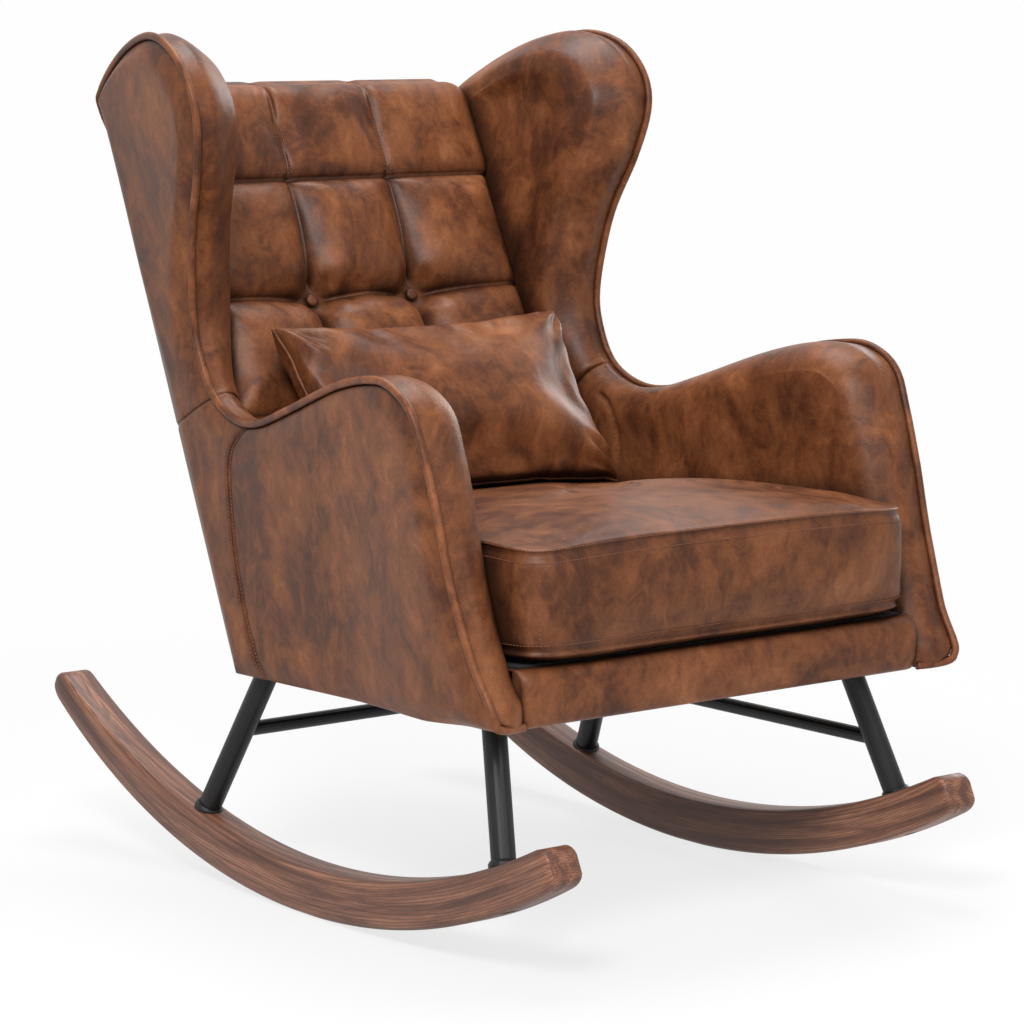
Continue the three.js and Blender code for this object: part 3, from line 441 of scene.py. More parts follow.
LEATHER = leather("leather")
LEATHER_BACK = leather("leather_back", 1.0, (0.3, 0.5, 0.2), 1.15)
# The seat cushion's copy of the leather is a little darker: painted shade that tones down its lit
# front.
SHADED_SEAT_LEATHER = leather("leather_seat_shaded", 0.94, (0.5, 0.1, 0.7))
LEATHER_PIPING = leather("leather_piping", 1.06, (0.9, 0.2, 0.4), 1.2)
ROCKER_CENTRE = (-0.044, 1.0)
WALNUT = walnut("walnut", ROCKER_CENTRE)
STEEL = metal(
    "black_steel", (17, 17, 18), (25, 25, 26), (24.0, 4.0, 0.6), (260.0, 3.0, 0.5), (0.34, 0.46),
    Specular_IOR_Level=0.3,
)
ZINC = metal(
    "zinc", (140, 141, 144), (182, 183, 186), (300.0, 4.0, 0.6), (300.0, 4.0, 0.6), (0.28, 0.42),
    Metallic=1.0,
)
PLYWOOD = plywood()
WEBBING = woven("webbing", (30, 28, 27), (66, 62, 58), 160.0)
LINING = woven("lining", (20, 19, 19), (38, 36, 35), 420.0, 0.95)
THREAD = thread()

NODE_MATERIALS = {
    "leather": LEATHER, "piping": LEATHER_PIPING, "walnut": WALNUT, "black_steel": STEEL,
    "zinc": ZINC, "plywood": PLYWOOD, "webbing": WEBBING, "lining": LINING,
}
for part in frame["record"]["subparts"]:
    mesh = nodes[part["node"]].data
    mesh.materials.clear()
    mesh.materials.append(NODE_MATERIALS[part["material_slot"]])


# Floor, backdrop and light
WHITE, SOFT = 0.99, 0.13
FLOOR_TONE, FLOOR_HALF, FLOOR_DROP = 0.8, 9, 0.0006
NEAR, FAR, NEAR_SHARE = 0.5, 1.9, 0.78


def make_stage():
    n = Surface("floor")
    n.set(Base_Color=(FLOOR_TONE, FLOOR_TONE, FLOOR_TONE, 1.0), Roughness=0.85)
    length = n.add("VectorMath", {0: n.place}, operation="LENGTH").outputs["Value"]
    far = n.reach(length, NEAR, FAR, NEAR_SHARE, 1.0)
    white = n.add("Emission", {"Strength": WHITE}).outputs[0]
    blend = n.add("MixShader", {0: n.seen_share(far), 1: n.shader.outputs[0], 2: white})
    n.fill(n.output.inputs[0], blend.outputs[0])
    mesh = bpy.data.meshes.new("floor")
    h = FLOOR_HALF
    mesh.from_pydata([(-h, -h, 0), (h, -h, 0), (h, h, 0), (-h, h, 0)], [], [(0, 1, 2, 3)])
    mesh.materials.append(n.material)
    floor = bpy.data.objects.new("floor", mesh)
    floor.location.z = -FLOOR_DROP
    bpy.context.scene.collection.objects.link(floor)
    world = bpy.data.worlds.new("studio")
    bpy.context.scene.world = world
    n = Nodes(world)
    lit, white = (
        n.add("Background", {"Color": (1, 1, 1, 1), "Strength": strength}).outputs[0]
        for strength in (SOFT, WHITE)
    )
    blend = n.add("MixShader", {0: n.seen_share(), 1: lit, 2: white})
    n.add("OutputWorld", {0: blend.outputs[0]})


def area_light(name, place, aim_z, size, power):
    data = bpy.data.lights.new(name, "AREA")
    data.shape = "RECTANGLE"
    data.size, data.size_y = size
    data.energy = power
    light = bpy.data.objects.new(name, data)
    light.location = place
    toward = Vector((0, 0, aim_z)) - Vector(place)
    light.rotation_euler = toward.to_track_quat("-Z", "Y").to_euler()
    bpy.context.scene.collection.objects.link(light)


make_stage()
area_light("key", (-2.5, -2.1, 3.0), 0.5, (1.2, 1.2), 142)
area_light("front", (-0.4, -3.8, 2.5), 0.6, (1.6, 1.4), 36)
area_light("top", (0.3, 0.6, 3.4), 0.4, (1.6, 1.6), 80)
area_light("rim", (3.2, 1.2, 1.8), 0.6, (1.2, 2.0), 40)
bpy.context.scene.view_settings.view_transform = "Standard"


# Meshes
def add_object(name, points, faces, material, body="frame", slot=None, replaces=None):
    """A smooth closed mesh from points in millimetres, riding on a body."""
    mesh = bpy.data.meshes.new(name)
    mesh.from_pydata((np.asarray(points, float) * MM).tolist(), [], faces)
    shell = bmesh.new()
    shell.from_mesh(mesh)
    bmesh.ops.recalc_face_normals(shell, faces=shell.faces)
    shell.to_mesh(mesh)
    shell.free()
    mesh.materials.append(material)
    mesh.shade_smooth()
    piece = bpy.data.objects.new(name, mesh)
    bpy.context.scene.collection.objects.link(piece)
    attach(piece, body)
    if replaces:
        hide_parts(replaces)
    return piece


def loft(sections):
    """Points and faces of a solid through a row of closed sections."""
    sections = np.asarray(sections, float)
    rows, count = sections.shape[:2]
    faces = []
    for i in range(rows - 1):
        for j in range(count):
            a, b = i * count + j, i * count + (j + 1) % count
            faces.append((a, b, b + count, a + count))
    faces.append(tuple(range(count)))
    last = (rows - 1) * count
    faces.append(tuple(last + j for j in reversed(range(count))))
    return sections.reshape(-1, 3), faces


def refine(points, steps):
    """A smooth row of points through the given ones."""
    points = np.asarray(points, float)
    last = len(points) - 1
    out = []
    for i in range(last):
        near = [points[min(last, max(0, i + k))] for k in (-1, 0, 1, 2)]
        out += [spline(near, k / steps)[0] for k in range(steps)]
    out.append(points[last])
    return np.array(out)


def round_ring(side, other, count):
    """Points of a unit circle that side and other span."""
    turns = np.arange(count)[:, None] / count * 2 * math.pi
    return np.cos(turns) * side + np.sin(turns) * other


def tube(path, radius, sides=16):
    """Points and faces of a round cord along a path."""
    path = np.asarray(path, float)
    along = np.gradient(path, axis=0)
    along /= np.linalg.norm(along, axis=1)[:, None]
    side = np.cross(along[0], (0.3, 0.5, 0.8))
    sections = []
    for point, forward in zip(path, along):
        side = unit(side - forward * side.dot(forward))
        sections.append(point + radius * round_ring(side, np.cross(forward, side), sides))
    return loft(sections)


def ripple(points, scale, seed):
    """Soft seeded unevenness from -1 to 1 at each point."""
    points = np.asarray(points, float) / scale + seed
    x, y, z = points[:, 0], points[:, 1], points[:, 2]
    return (
        np.sin(x + 1.3 * np.sin(0.7 * y + 0.4 * z)) * 0.45
        + np.sin(1.7 * y + 1.1 * np.sin(0.9 * z + 0.6 * x)) * 0.33
        + np.sin(2.3 * z + 1.2 * np.sin(1.1 * x - 0.5 * y)) * 0.22
    )


def vertex_rows(mesh, kind="co"):
    flat = np.zeros(len(mesh.vertices) * 3)
    mesh.vertices.foreach_get(kind, flat)
    return flat.reshape(-1, 3)


def evaluated(piece):
    return piece.evaluated_get(bpy.context.evaluated_depsgraph_get())


def coordinates(piece):
    return vertex_rows(piece.data) / MM


def place_vertices(piece, points):
    piece.data.vertices.foreach_set("co", (np.asarray(points) * MM).ravel())
    piece.data.update()


def soften(piece, amount, scale, seed):
    """Moves a piece's surface in and out a little along its normals."""
    place = coordinates(piece)
    normal = vertex_rows(piece.data, "normal")
    place_vertices(piece, place + normal * (ripple(place, scale, seed) * amount)[:, None])


def evened(piece, move, free, passes=8):
    """Averages the moves of neighbouring points, so that a filled cover stays fair."""
    ends = np.zeros(len(piece.data.edges) * 2, int)
    piece.data.edges.foreach_get("vertices", ends)
    a, b = ends.reshape(-1, 2).T
    count = np.bincount(ends, minlength=len(move))[:, None]
    for _ in range(passes):
        total = np.zeros_like(move)
        np.add.at(total, a, move[b])
        np.add.at(total, b, move[a])
        move = lerp(move, total / np.maximum(count, 1), 0.6) * np.minimum(1, free + 0.25)
    return move * free


def inflate(piece, hold, pressure, cap, frames, *, stiff, bend, shrink):
    """Fills a piece by cloth simulation with gravity off. hold is 1 where the leather is sewn."""
    group = piece.vertex_groups.new(name="sewn")
    levels = np.round(hold, 2)
    for level in np.unique(levels[levels > 0]):
        group.add(np.nonzero(levels == level)[0].tolist(), float(level), "REPLACE")
    cloth = piece.modifiers.new("cloth", "CLOTH")
    settings = cloth.settings
    settings.quality = 5
    settings.mass = 0.25
    settings.tension_stiffness = settings.compression_stiffness = stiff
    settings.shear_stiffness = stiff * 0.5
    settings.bending_stiffness = bend
    settings.use_pressure = True
    settings.uniform_pressure_force = pressure
    settings.effector_weights.gravity = 0
    settings.vertex_group_mass = "sewn"
    settings.shrink_min = shrink
    before = coordinates(piece)
    scene = bpy.context.scene
    cloth.point_cache.frame_start, cloth.point_cache.frame_end = 1, frames
    for step in range(1, frames + 1):
        scene.frame_set(step)
    move = coordinates(evaluated(piece)) - before
    length = np.linalg.norm(move, axis=1)[:, None]
    move *= np.tanh(length / cap) * cap / np.maximum(length, 1e-6)
    piece.modifiers.remove(cloth)
    piece.vertex_groups.remove(group)
    scene.frame_set(1)
    place_vertices(piece, before + evened(piece, move, np.clip(1 - hold, 0, 1)[:, None]))


def stitches(name, rows, body="frame", pitch=4.6, length=3.3, radius=0.55):
    """Short sewn stitches along rows of points, as one piece."""
    points, faces = [], []
    for row in rows:
        row = np.asarray(row, float)
        steps = np.linalg.norm(np.diff(row, axis=0), axis=1)
        run = np.concatenate([[0], np.cumsum(steps)])
        for start in np.arange(pitch / 2, run[-1] - length, pitch):
            ends = [
                np.array([np.interp(start + s * length, run, row[:, k]) for k in range(3)])
                for s in (0, 0.25, 0.75, 1)
            ]
            forward = unit(ends[3] - ends[0])
            side = unit(np.cross(forward, (0.21, 0.35, 0.91)))
            ring = radius * round_ring(side, np.cross(forward, side), 6)
            stitch, walls = loft([
                end + share * ring for end, share in zip(ends, (0.35, 1, 1, 0.35))
            ])
            base = len(points)
            points.extend(stitch)
            faces.extend(tuple(base + k for k in wall) for wall in walls)
    return add_object(name, points, faces, THREAD, body, "piping")


def add_padded(name, sections, material, node, uneven=None):
    """A padded cover through closed sections, in place of one node."""
    piece = add_object(name, *loft(sections), material, replaces=node)
    if uneven:
        soften(piece, *uneven)


def near_curve(points, curve):
    """Distance of each point to a polyline, in the points' own dimensions."""
    points, curve = np.asarray(points, float), np.asarray(curve, float)
    best = np.full(len(points), 1e9)
    for a, b in zip(curve[:-1], curve[1:]):
        span = b - a
        t = np.clip(((points - a) @ span) / (span @ span), 0, 1)
        best = np.minimum(best, np.linalg.norm(points - a - t[:, None] * span, axis=1))
    return best


# Seams of the sides, as rows of (y, z)
PANEL_SEAM = refine([
    (64, 566), (83, 550), (98, 533), (107, 507), (107, 471), (103, 425), (96, 377), (80, 320),
    (54, 264),
], 8)
ARM_INNER_SEAM = refine([(122, 556), (104, 545), (90, 522), (82, 490), (80, 455), (80, 420)], 8)
GROOVE = 4.2
JOIN = float(ARM_SPANS)
ARM_RUN, WING_RUN = (0, JOIN - 0.004), (JOIN + 0.004, SPANS)


def groove_at(points, curve, width=3.8):
    return GROOVE * bell(near_curve(points, curve), width)


# Outer leather of the sides: closed sheets that round over to their sewn edges
EDGE_ROLL, END_ROLL = (32, 6.4), (28, 5.4)
COVER_LOW, COVER_HIGH = 4.0, 8.5
COVER_POINTS, COVER_UNEVEN = 104, 1.3


def outer_cover(sign, from_at, to_at, steps):
    shares = 1 - (1 - np.linspace(0, 1, COVER_POINTS)) ** 1.2
    sections = []
    for at in np.linspace(from_at, to_at, steps):
        edge, end, inward = cross_line(COVER_ENDS, at)
        start = edge + inward * COVER_INSET
        spots = np.array([lerp(start, end, s) for s in shares])
        from_edge = np.linalg.norm(spots - start, axis=1)
        from_end = np.linalg.norm(spots - end, axis=1)
        dip = rounded(from_edge, *EDGE_ROLL) + rounded(from_end, *END_ROLL)
        dip = dip + 1.5 * bell(at - JOIN, 0.035) + groove_at(spots, PANEL_SEAM)
        room = smooth(from_edge / 46) * smooth(from_end / 30)
        uneven = COVER_UNEVEN * ripple(np.c_[spots, spots[:, :1] * 0 + sign * 40], 62, 1.0)
        swell = lerp(COVER_LOW, COVER_HIGH, smooth((spots[:, 1] - 560) / 200))
        dip = np.clip(dip - room * (swell + uneven), -COVER_HIGH, COVER - 0.8)
        outer = [place_on_side(sign, p, d) for p, d in zip(spots, dip)]
        inner = [place_on_side(sign, lerp(end, start, s), COVER) for s in (0, 0.33, 0.67, 1)]
        sections.append(outer + inner)
    return sections


def on_cover(sections, row):
    """A row of (y, z) laid on a cover's outer face."""
    points = np.reshape(sections, (-1, 3))
    laid = []
    for y, z in row:
        near = points[np.hypot(points[:, 1] - y, points[:, 2] - z) < 6]
        laid.append((near[np.abs(near[:, 0]).argmax(), 0], y, z))
    return laid


def piping_path(sign):
    """Up round the arm and the wing; at the foot it curls in to the apron's side seam."""
    path = []
    for at in np.linspace(0, SPANS, 420):
        point, tangent = outline_at(at)
        foot = 1 - smooth(at / 2)
        proud = 1.2 * (1 - foot)
        point = point + proud * np.array([-tangent[1], tangent[0]]) - np.array([4 * foot, 0])
        path.append(place_on_side(sign, point, PIPING - 4 * foot - proud))
    start, foot_y = np.array(path[9]), APRON_FRONT_Y
    stop = np.array([sign * (arm_inner_x(foot_y) + 5), foot_y + 2, base_z(foot_y) + 5.5])
    foot = []
    for turn in np.linspace(math.pi / 2, 0, 40):
        across, drop = 1 - math.cos(turn) ** 0.8, math.sin(turn) ** 0.8
        foot.append(lerp(start, stop, np.array([across, across, drop])))
    down = unit(REAR_FOOT - REAR_TOP)
    tail = [path[-12], path[-1]]
    for drop, depth in ((7, 4.4), (17, 5.6), (30, 8.0), (44, 12.0)):
        spot = REAR_TOP + down * drop - np.array([drop * 0.12, 0])
        tail.append(place_on_side(sign, spot, depth))
    tail = refine(tail, 10)
    return np.array(foot[:-1] + path[9:-12] + list(tail[1:]))


for side, sign in SIDES:
    arm = outer_cover(sign, *ARM_RUN, 270)
    add_padded(f"side_leather_{side}", arm, LEATHER, f"arm_cover_{side}")
    rows = [on_cover(arm, PANEL_SEAM[8:-1] + np.array([shift, 0])) for shift in (-4.5, 4.5)]
    stitches(f"panel_stitches_{side}", rows)
    wing = outer_cover(sign, *WING_RUN, 190)
    add_padded(f"wing_leather_{side}", wing, LEATHER, f"wing_cover_{side}")
    points, faces = tube(piping_path(sign), PIPING, 20)
    points = points + np.random.default_rng(7).normal(0, 0.05, points.shape)
    add_object(f"piping_{side}", points, faces, LEATHER_PIPING, replaces=f"side_piping_{side}")


# Rolled inner padding of arms and wings
ROLL = [
    (0, 0, 0), (0, -0.7, 0.24), (0, -1, 0.42), (0.1, -0.5, 0.68), (0.34, 0, 0.87), (0.66, 0, 0.97),
    (1, 0, 1),
]
WING_ROLL = 12


def pad_sections(sign, from_at, to_at, steps, depth_at, relief):
    pocket_depth = SHELL_FROM + SHELL + LAYER
    sections = []
    for at in np.linspace(from_at, to_at, steps):
        edge, end, inward = cross_line(PAD_ENDS, at)
        edge_depth = COVER + LAYER + WADDING * (1 - smooth(at / 3.6))
        room = np.linalg.norm(end - edge)
        roll = min(ROLL_INSET, room * 0.6)
        roll_end = edge + inward * roll
        pocket = edge + inward * min(SHELL_INSET - LAYER * 3, roll * 0.8)
        key = []
        for inset, proud, depth in ROLL:
            p = edge + inward * (inset * roll + proud * ROLL_PROUD)
            key.append((*p, lerp(COVER - 2.4, depth_at(*p), depth)))
        for share in (0.25, 0.5, 0.75, 1):
            p = lerp(roll_end, end, share)
            key.append((*p, depth_at(*p)))
        fine = refine(key, 7)
        depth = fine[:, 2] + relief(fine[:, :2], at, room)
        front = [place_on_side(sign, p, d) for p, d in zip(fine[:, :2], depth)]
        back = [
            place_on_side(sign, lerp(pocket, end, s), pocket_depth, flare_x)
            for s in (1, 0.75, 0.5, 0.25, 0)
        ]
        sections.append(front + back + [place_on_side(sign, pocket, edge_depth)])
    return sections


def join_crease(at):
    return 3.0 * bell(at - JOIN, 0.07)


def arm_relief(spots, at, room):
    return -groove_at(spots, ARM_INNER_SEAM) - join_crease(at)


def wing_relief(spots, at, room):
    inside = np.linalg.norm(spots - outline_at(at)[0], axis=1)
    roll = smooth(inside / 26) * (1 - smooth((inside - 30) / min(90.0, room * 0.8)))
    free = smooth((at - JOIN) / 2) * smooth((SPANS - at) / 3)
    return WING_ROLL * roll * free - join_crease(at)


for side, sign in SIDES:
    for name, run, steps, depth_at, relief in (
        ("arm", ARM_RUN, 210, arm_depth, arm_relief),
        ("wing", WING_RUN, 190, wing_depth, wing_relief),
    ):
        sections = pad_sections(sign, *run, steps, depth_at, relief)
        add_padded(
            f"{name}_padding_{side}", sections, LEATHER, f"{name}_pad_{side}",
            (0.8, 34.0, 2.0 + sign),
        )


# Tufted back cushion: three columns under a plain headrest row, buttons where the seams cross
BACK_TOP_Z = SIDE_BASE_Z + 0.9113 * SIDE_HEIGHT
BACK_FOOT_Z = SIDE_BASE_Z + 76
BACK_TOP = np.array([0, rear_y(BACK_TOP_Z) - 36.8, BACK_TOP_Z])
BACK_LEAN = math.atan((BACK_TOP[1] - rear_y(BACK_FOOT_Z) + 74.2) / (BACK_TOP_Z - BACK_FOOT_Z))
BACK_DOWN = np.array([0, -math.sin(BACK_LEAN), -math.cos(BACK_LEAN)])
BACK_OUT = np.array([0, -math.cos(BACK_LEAN), math.sin(BACK_LEAN)])
BACK_LENGTH = (BACK_TOP_Z - BACK_FOOT_Z) / math.cos(BACK_LEAN)
BACK_HALF = 242.0
SEAM_X = BACK_HALF * 0.32
ROWS = (0, 127, 282, 437, BACK_LENGTH)
NECK_SHARE = (REAR_HALF - WING - 2 * LAYER) / BACK_HALF
PANEL, BACK_DEEPEST = 6.3, 21.5
TUFTS = [(sign * SEAM_X, line) for line in ROWS[2:-1] for sign in (-1, 1)]


def valley(distance, width, power=2.4):
    """A sewn valley's share of its depth, sharp at the seam and soft at its rim."""
    return (1 - np.clip(distance / width, 0, 1)) ** power


def off_columns(x):
    return np.abs(np.abs(x) - SEAM_X)


def off_seams(x, w):
    """Distance to the back's nearest sewn column or row."""
    return np.min([off_columns(x)] + [np.abs(w - line) for line in ROWS[1:-1]], axis=0)


def off_buttons(x, w):
    return np.min([np.hypot(x - place, w - line) for place, line in TUFTS], axis=0)


def back_relief(x, w):
    """Height of the back's face over its plane."""
    seam, button, side = off_columns(x), off_buttons(x, w), BACK_HALF - np.abs(x)
    pleat = np.zeros(x.shape)
    for place, line in TUFTS:
        fold = np.cos(8 * np.arctan2(w - line, x - place) + math.pi)
        pleat = pleat + fold * bell(np.hypot(x - place, w - line) - 26, 15)
    pull = lerp(15, 36, bell(button, 62))
    depths = [pull * valley(seam, 58), 28 * valley(side, 46)]
    depths += [pull * valley(np.abs(w - line), 58) for line in ROWS[2:-1]]
    depths += [15 * valley(w - ROWS[1], 34, 2.6), 26 * valley(BACK_LENGTH - w, 40)]
    depths.append(40 * (1 - smooth((button - 5) / 44)))
    deep = np.sum([d ** 3 for d in depths], axis=0) ** (1 / 3)
    tufted = 19 - deep - 4.5 * valley(off_seams(x, w), 6, 1) + 1.1 * pleat
    head = 12 - 5.5 * valley(seam, 9, 1.6) - 9 * valley(side, 24)
    head = head - 10 * valley(ROWS[1] - w, 22, 2.6) - rounded(w, 27, 25)
    return np.maximum(np.where(w < ROWS[1], head, tufted), -BACK_DEEPEST)


def back_wide(w):
    """The back is wider low down, where it meets the arms instead of the wings."""
    return 1 + 0.072 * smooth((w - 375) / 70)


def on_back(x, w, height):
    """Points at a height over the back's plane."""
    spots = BACK_TOP + np.expand_dims(w, -1) * BACK_DOWN + np.expand_dims(height, -1) * BACK_OUT
    spots[..., 0] = x * back_wide(w)
    return spots


def make_back():
    beside = np.array([-3, 3])
    columns = np.unique(np.concatenate([
        np.linspace(-BACK_HALF, BACK_HALF, 105), [-SEAM_X, SEAM_X], SEAM_X + beside,
        beside - SEAM_X,
    ]))
    roll = 27 * (1 - np.cos(np.linspace(0, math.pi / 2, 12)))
    lines = np.unique(np.concatenate([
        roll, np.linspace(30, BACK_LENGTH, 135), ROWS, np.add.outer(ROWS[1:-1], beside).ravel(),
    ]))
    x, w = np.meshgrid(columns, lines, indexing="ij")
    face = on_back(x, w, back_relief(x, w))
    crown = 8 * smooth((BACK_HALF - np.abs(columns)) / 30) - 1.8 * bell(off_columns(columns), 9)
    face[..., 2] += crown[:, None] * (1 - smooth(w / 70))
    ledge = BACK_TOP_Z - 22 + SEAT_GAP
    sections = []
    for row, lift, across in zip(face, crown, columns):
        foot, side = row[-1], across * NECK_SHARE
        behind = [
            (side, rear_y(z) - depth, z + lift * share) for depth, z, share in (
                (PAD_REAR_INSET, foot[2], 0), (PAD_REAR_INSET, (foot[2] + ledge) / 2, 0),
                (PAD_REAR_INSET, ledge, 0), (PANEL, ledge, 0), (PANEL - 3, BACK_TOP_Z - 7, 0.6),
                (PANEL - 1.4, BACK_TOP_Z - 2.6, 0.9), (PANEL + 3, BACK_TOP_Z, 1),
            )
        ]
        sections.append(list(row) + behind)
    points, faces = loft(sections)
    piece = add_object("back_padding", points, faces, LEATHER_BACK, replaces="back_cushion")
    hold = np.ones((len(columns), len(sections[0])))
    at_seam = 1 - smooth((off_seams(x, w) - 1.5) / 4)
    at_button = 1 - smooth((off_buttons(x, w) - 12) / 8)
    edge = np.min([BACK_HALF - np.abs(x), w, BACK_LENGTH - w], axis=0)
    at_edge = 1 - smooth((edge - 1) / 6)
    hold[:, :len(lines)] = np.max([at_seam, at_button, at_edge], axis=0)
    inflate(piece, hold.ravel(), 3.0, 9.0, 12, stiff=9.0, bend=0.2, shrink=-0.04)


make_back()


# Covered buttons: a low dome with gathered leather round its rim
BUTTON_SINK, BUTTON_SIDES, GATHERS = 19.2, 48, 12


def make_button(number, x, w):
    seat = on_back(x, w, -BUTTON_SINK)
    profile = refine([(7.6, 0), (8.1, 1.6), (7.5, 3.6), (5.7, 5.2), (3.0, 6.0), (0.5, 6.3)], 4)
    ring = round_ring(ACROSS, np.cross(BACK_OUT, ACROSS), BUTTON_SIDES)
    wave = 0.02 * np.sin(np.arange(BUTTON_SIDES) / BUTTON_SIDES * 2 * math.pi * GATHERS)
    sections = []
    for radius, height in profile:
        reach = radius * (1 + wave * smooth(radius / 7))
        sections.append(seat + BACK_OUT * height + ring * reach[:, None])
    add_object(
        f"covered_button_{number}", *loft(sections), LEATHER_PIPING,
        replaces=f"tuft_button_{number}",
    )


for number, (x, w) in enumerate(TUFTS, 1):
    make_button(number, x, w)


# Headrest seams: stitches on both sides of each column, and over the cross seam
def seam_row(x, w, lift):
    x, w = np.broadcast_arrays(x, w)
    return on_back(x, w, back_relief(x, w) + lift)


seam_rows = [
    seam_row(sign * SEAM_X + side, np.linspace(6, ROWS[1] - 7, 60), 0.15)
    for sign in (-1, 1) for side in (-4.2, 4.2)
]
across = np.linspace(-BACK_HALF + 8, BACK_HALF - 8, 200)
seam_rows.append(seam_row(across, ROWS[1] - 8, 0.1))
stitches("headrest_stitches", seam_rows)


# Loose seat cushion: boxed, seamed along its top and bottom edges
CUSHION_FRONT_Y, CUSHION_REAR_Y = -437.0, 64.0
BOXING, CROWN, BULGE, CORNER, DRAW_IN = 123.0, 31.0, 9.0, 34.0, 4.0
SEAM_LIFT = 16.0
CORNER_JOINT = 0.95
RING_STEPS, LOW_SEAM, TOP_SEAM = 8, 4, 7
CUSHION_LOOP, FAIR_FROM = 300, 72


def even_loop(count, power):
    """A rounded square outline, with its points evenly spaced along it."""
    turn = np.arange(20000) / 20000 * 2 * math.pi
    c, s = np.cos(turn), np.sin(turn)
    a, b = np.sign(c) * np.abs(c) ** power, np.sign(s) * np.abs(s) ** power
    steps = np.hypot(np.diff(a, append=a[0]), np.diff(b, append=b[0]))
    run = np.concatenate([[0], np.cumsum(steps)])
    at = np.arange(count) / count * run[-1]
    return np.interp(at, run, np.append(a, a[0])), np.interp(at, run, np.append(b, b[0]))


def cushion_ring(inset, height, bulge, loop):
    a, b = loop
    centre = (CUSHION_FRONT_Y + CUSHION_REAR_Y) / 2
    half_depth = CUSHION_REAR_Y - centre
    drawn = inset + DRAW_IN * (1 - a * a * b * b) * (1 - bulge)
    y = centre + b * (half_depth - drawn)
    y = y - np.where(b < 0, BULGE * bulge * b * b * np.sqrt(np.maximum(0, 1 - a * a)), 0)
    y = y + np.where(b > 0, b * height * math.tan(BACK_LEAN) * 0.9, 0)
    half = arm_inner_x(np.maximum(y, CUSHION_FRONT_Y)) - LAYER
    part = max(0.0, height - SEAM_LIFT) / (BOXING - SEAM_LIFT)
    drop = 12 * smooth((y + 260) / 240) + lerp(-3, 5, a ** 4 * b ** 4)
    z = base_z(y) + height - part * drop + DECK_RISE
    return np.stack([a * (half - drawn), y, z], axis=-1)


def fair_crown(piece, first):
    """Evens out the middle of the crown, where the rings run together."""
    shell = bmesh.new()
    shell.from_mesh(piece.data)
    shell.verts.ensure_lookup_table()
    for _ in range(110):
        bmesh.ops.smooth_vert(
            shell, verts=shell.verts[first:], factor=0.5, use_axis_x=True, use_axis_y=True,
            use_axis_z=True,
        )
    shell.to_mesh(piece.data)
    shell.free()


def make_cushion():
    loop, top = even_loop(CUSHION_LOOP, 0.17), BOXING
    rings = [
        (CORNER * 6, 0, 1), (CORNER * 3, 0, 1), (CORNER, 0, 0), (CORNER * 0.3, 5, 0),
        (0, SEAM_LIFT, 0), (0, lerp(SEAM_LIFT, top, 0.3), 0.8),
        (0, lerp(SEAM_LIFT, top, 0.6), 1), (0, top, 0),
        (CORNER * 0.35, top + CROWN * 0.3, 0), (CORNER, top + CROWN * 0.58, 0.5),
        (CORNER * 2.2, top + CROWN * 0.84, 1), (CORNER * 4, top + CROWN * 0.97, 1),
        (CORNER * 6, top + CROWN, 1), (CORNER * 7.1, top + CROWN, 1),
    ]
    fine = refine(rings, RING_STEPS)
    run = np.arange(len(fine)) / RING_STEPS
    hold, sections = [], []
    for at, (inset, height, bulge) in zip(run, fine):
        seam = min(abs(at - LOW_SEAM), abs(at - TOP_SEAM))
        dip = 4.2 * bell(seam, 0.15) - 1.4 * bell(seam - 0.42, 0.22)
        ring = cushion_ring(inset, height, max(0.0, min(1.0, bulge)), loop)
        centre = np.array([0, ring[:, 1].mean(), height + 330.0])
        inward = centre - ring
        inward /= np.linalg.norm(inward, axis=1)[:, None]
        joint = bell(np.abs(loop[0]) - CORNER_JOINT, 0.02) * (loop[1] < -0.5)
        joint = joint * smooth((at - 4.1) / 0.3) * smooth((6.9 - at) / 0.3)
        sections.append(ring + inward * (dip + 2.4 * joint)[:, None])
        level = 1 - smooth((seam - 0.2) / 0.5)
        flat = 1.0 if at < 4.2 else 0.0
        hold.append(np.full(CUSHION_LOOP, max(level, flat)))
    piece = add_object(
        "seat_padding", *loft(sections), SHADED_SEAT_LEATHER, "seat_cushion_body",
        replaces="seat_cushion",
    )
    inflate(piece, np.concatenate(hold), 2.2, 6.0, 10, stiff=14.0, bend=0.5, shrink=-0.01)
    soften(piece, 0.8, 46.0, 5.0)
    fair_crown(piece, FAIR_FROM * CUSHION_LOOP)
    rows = []
    for place in (4.25, 7.25, 6.75):
        ring = sections[int(round(place * RING_STEPS))]
        rows.append([p for p in np.roll(ring, CUSHION_LOOP // 4, axis=0) if p[1] < -330])
    for sign in (-1, 1):
        beside = np.where(loop[1] < -0.5, np.abs(loop[0] - sign * (CORNER_JOINT - 0.025)), 9.0)
        rows.append([sections[k][int(beside.argmin())] for k in range(35, 54)])
    stitches("cushion_stitches", rows, "seat_cushion_body")


make_cushion()


# Lumbar pillow: two panels sewn round the edge and filled
PILLOW_LEAN = math.radians(33)
PILLOW_UP = np.array([0, math.sin(PILLOW_LEAN), math.cos(PILLOW_LEAN)])
PILLOW_FRONT = np.array([0, -math.cos(PILLOW_LEAN), math.sin(PILLOW_LEAN)])
PILLOW_AXES = np.stack([ACROSS, PILLOW_UP, PILLOW_FRONT])
PILLOW_CENTRE = np.array([0, 92.0, 561.6])
PILLOW_SIZE = (430.0, 244.0, 128.0)


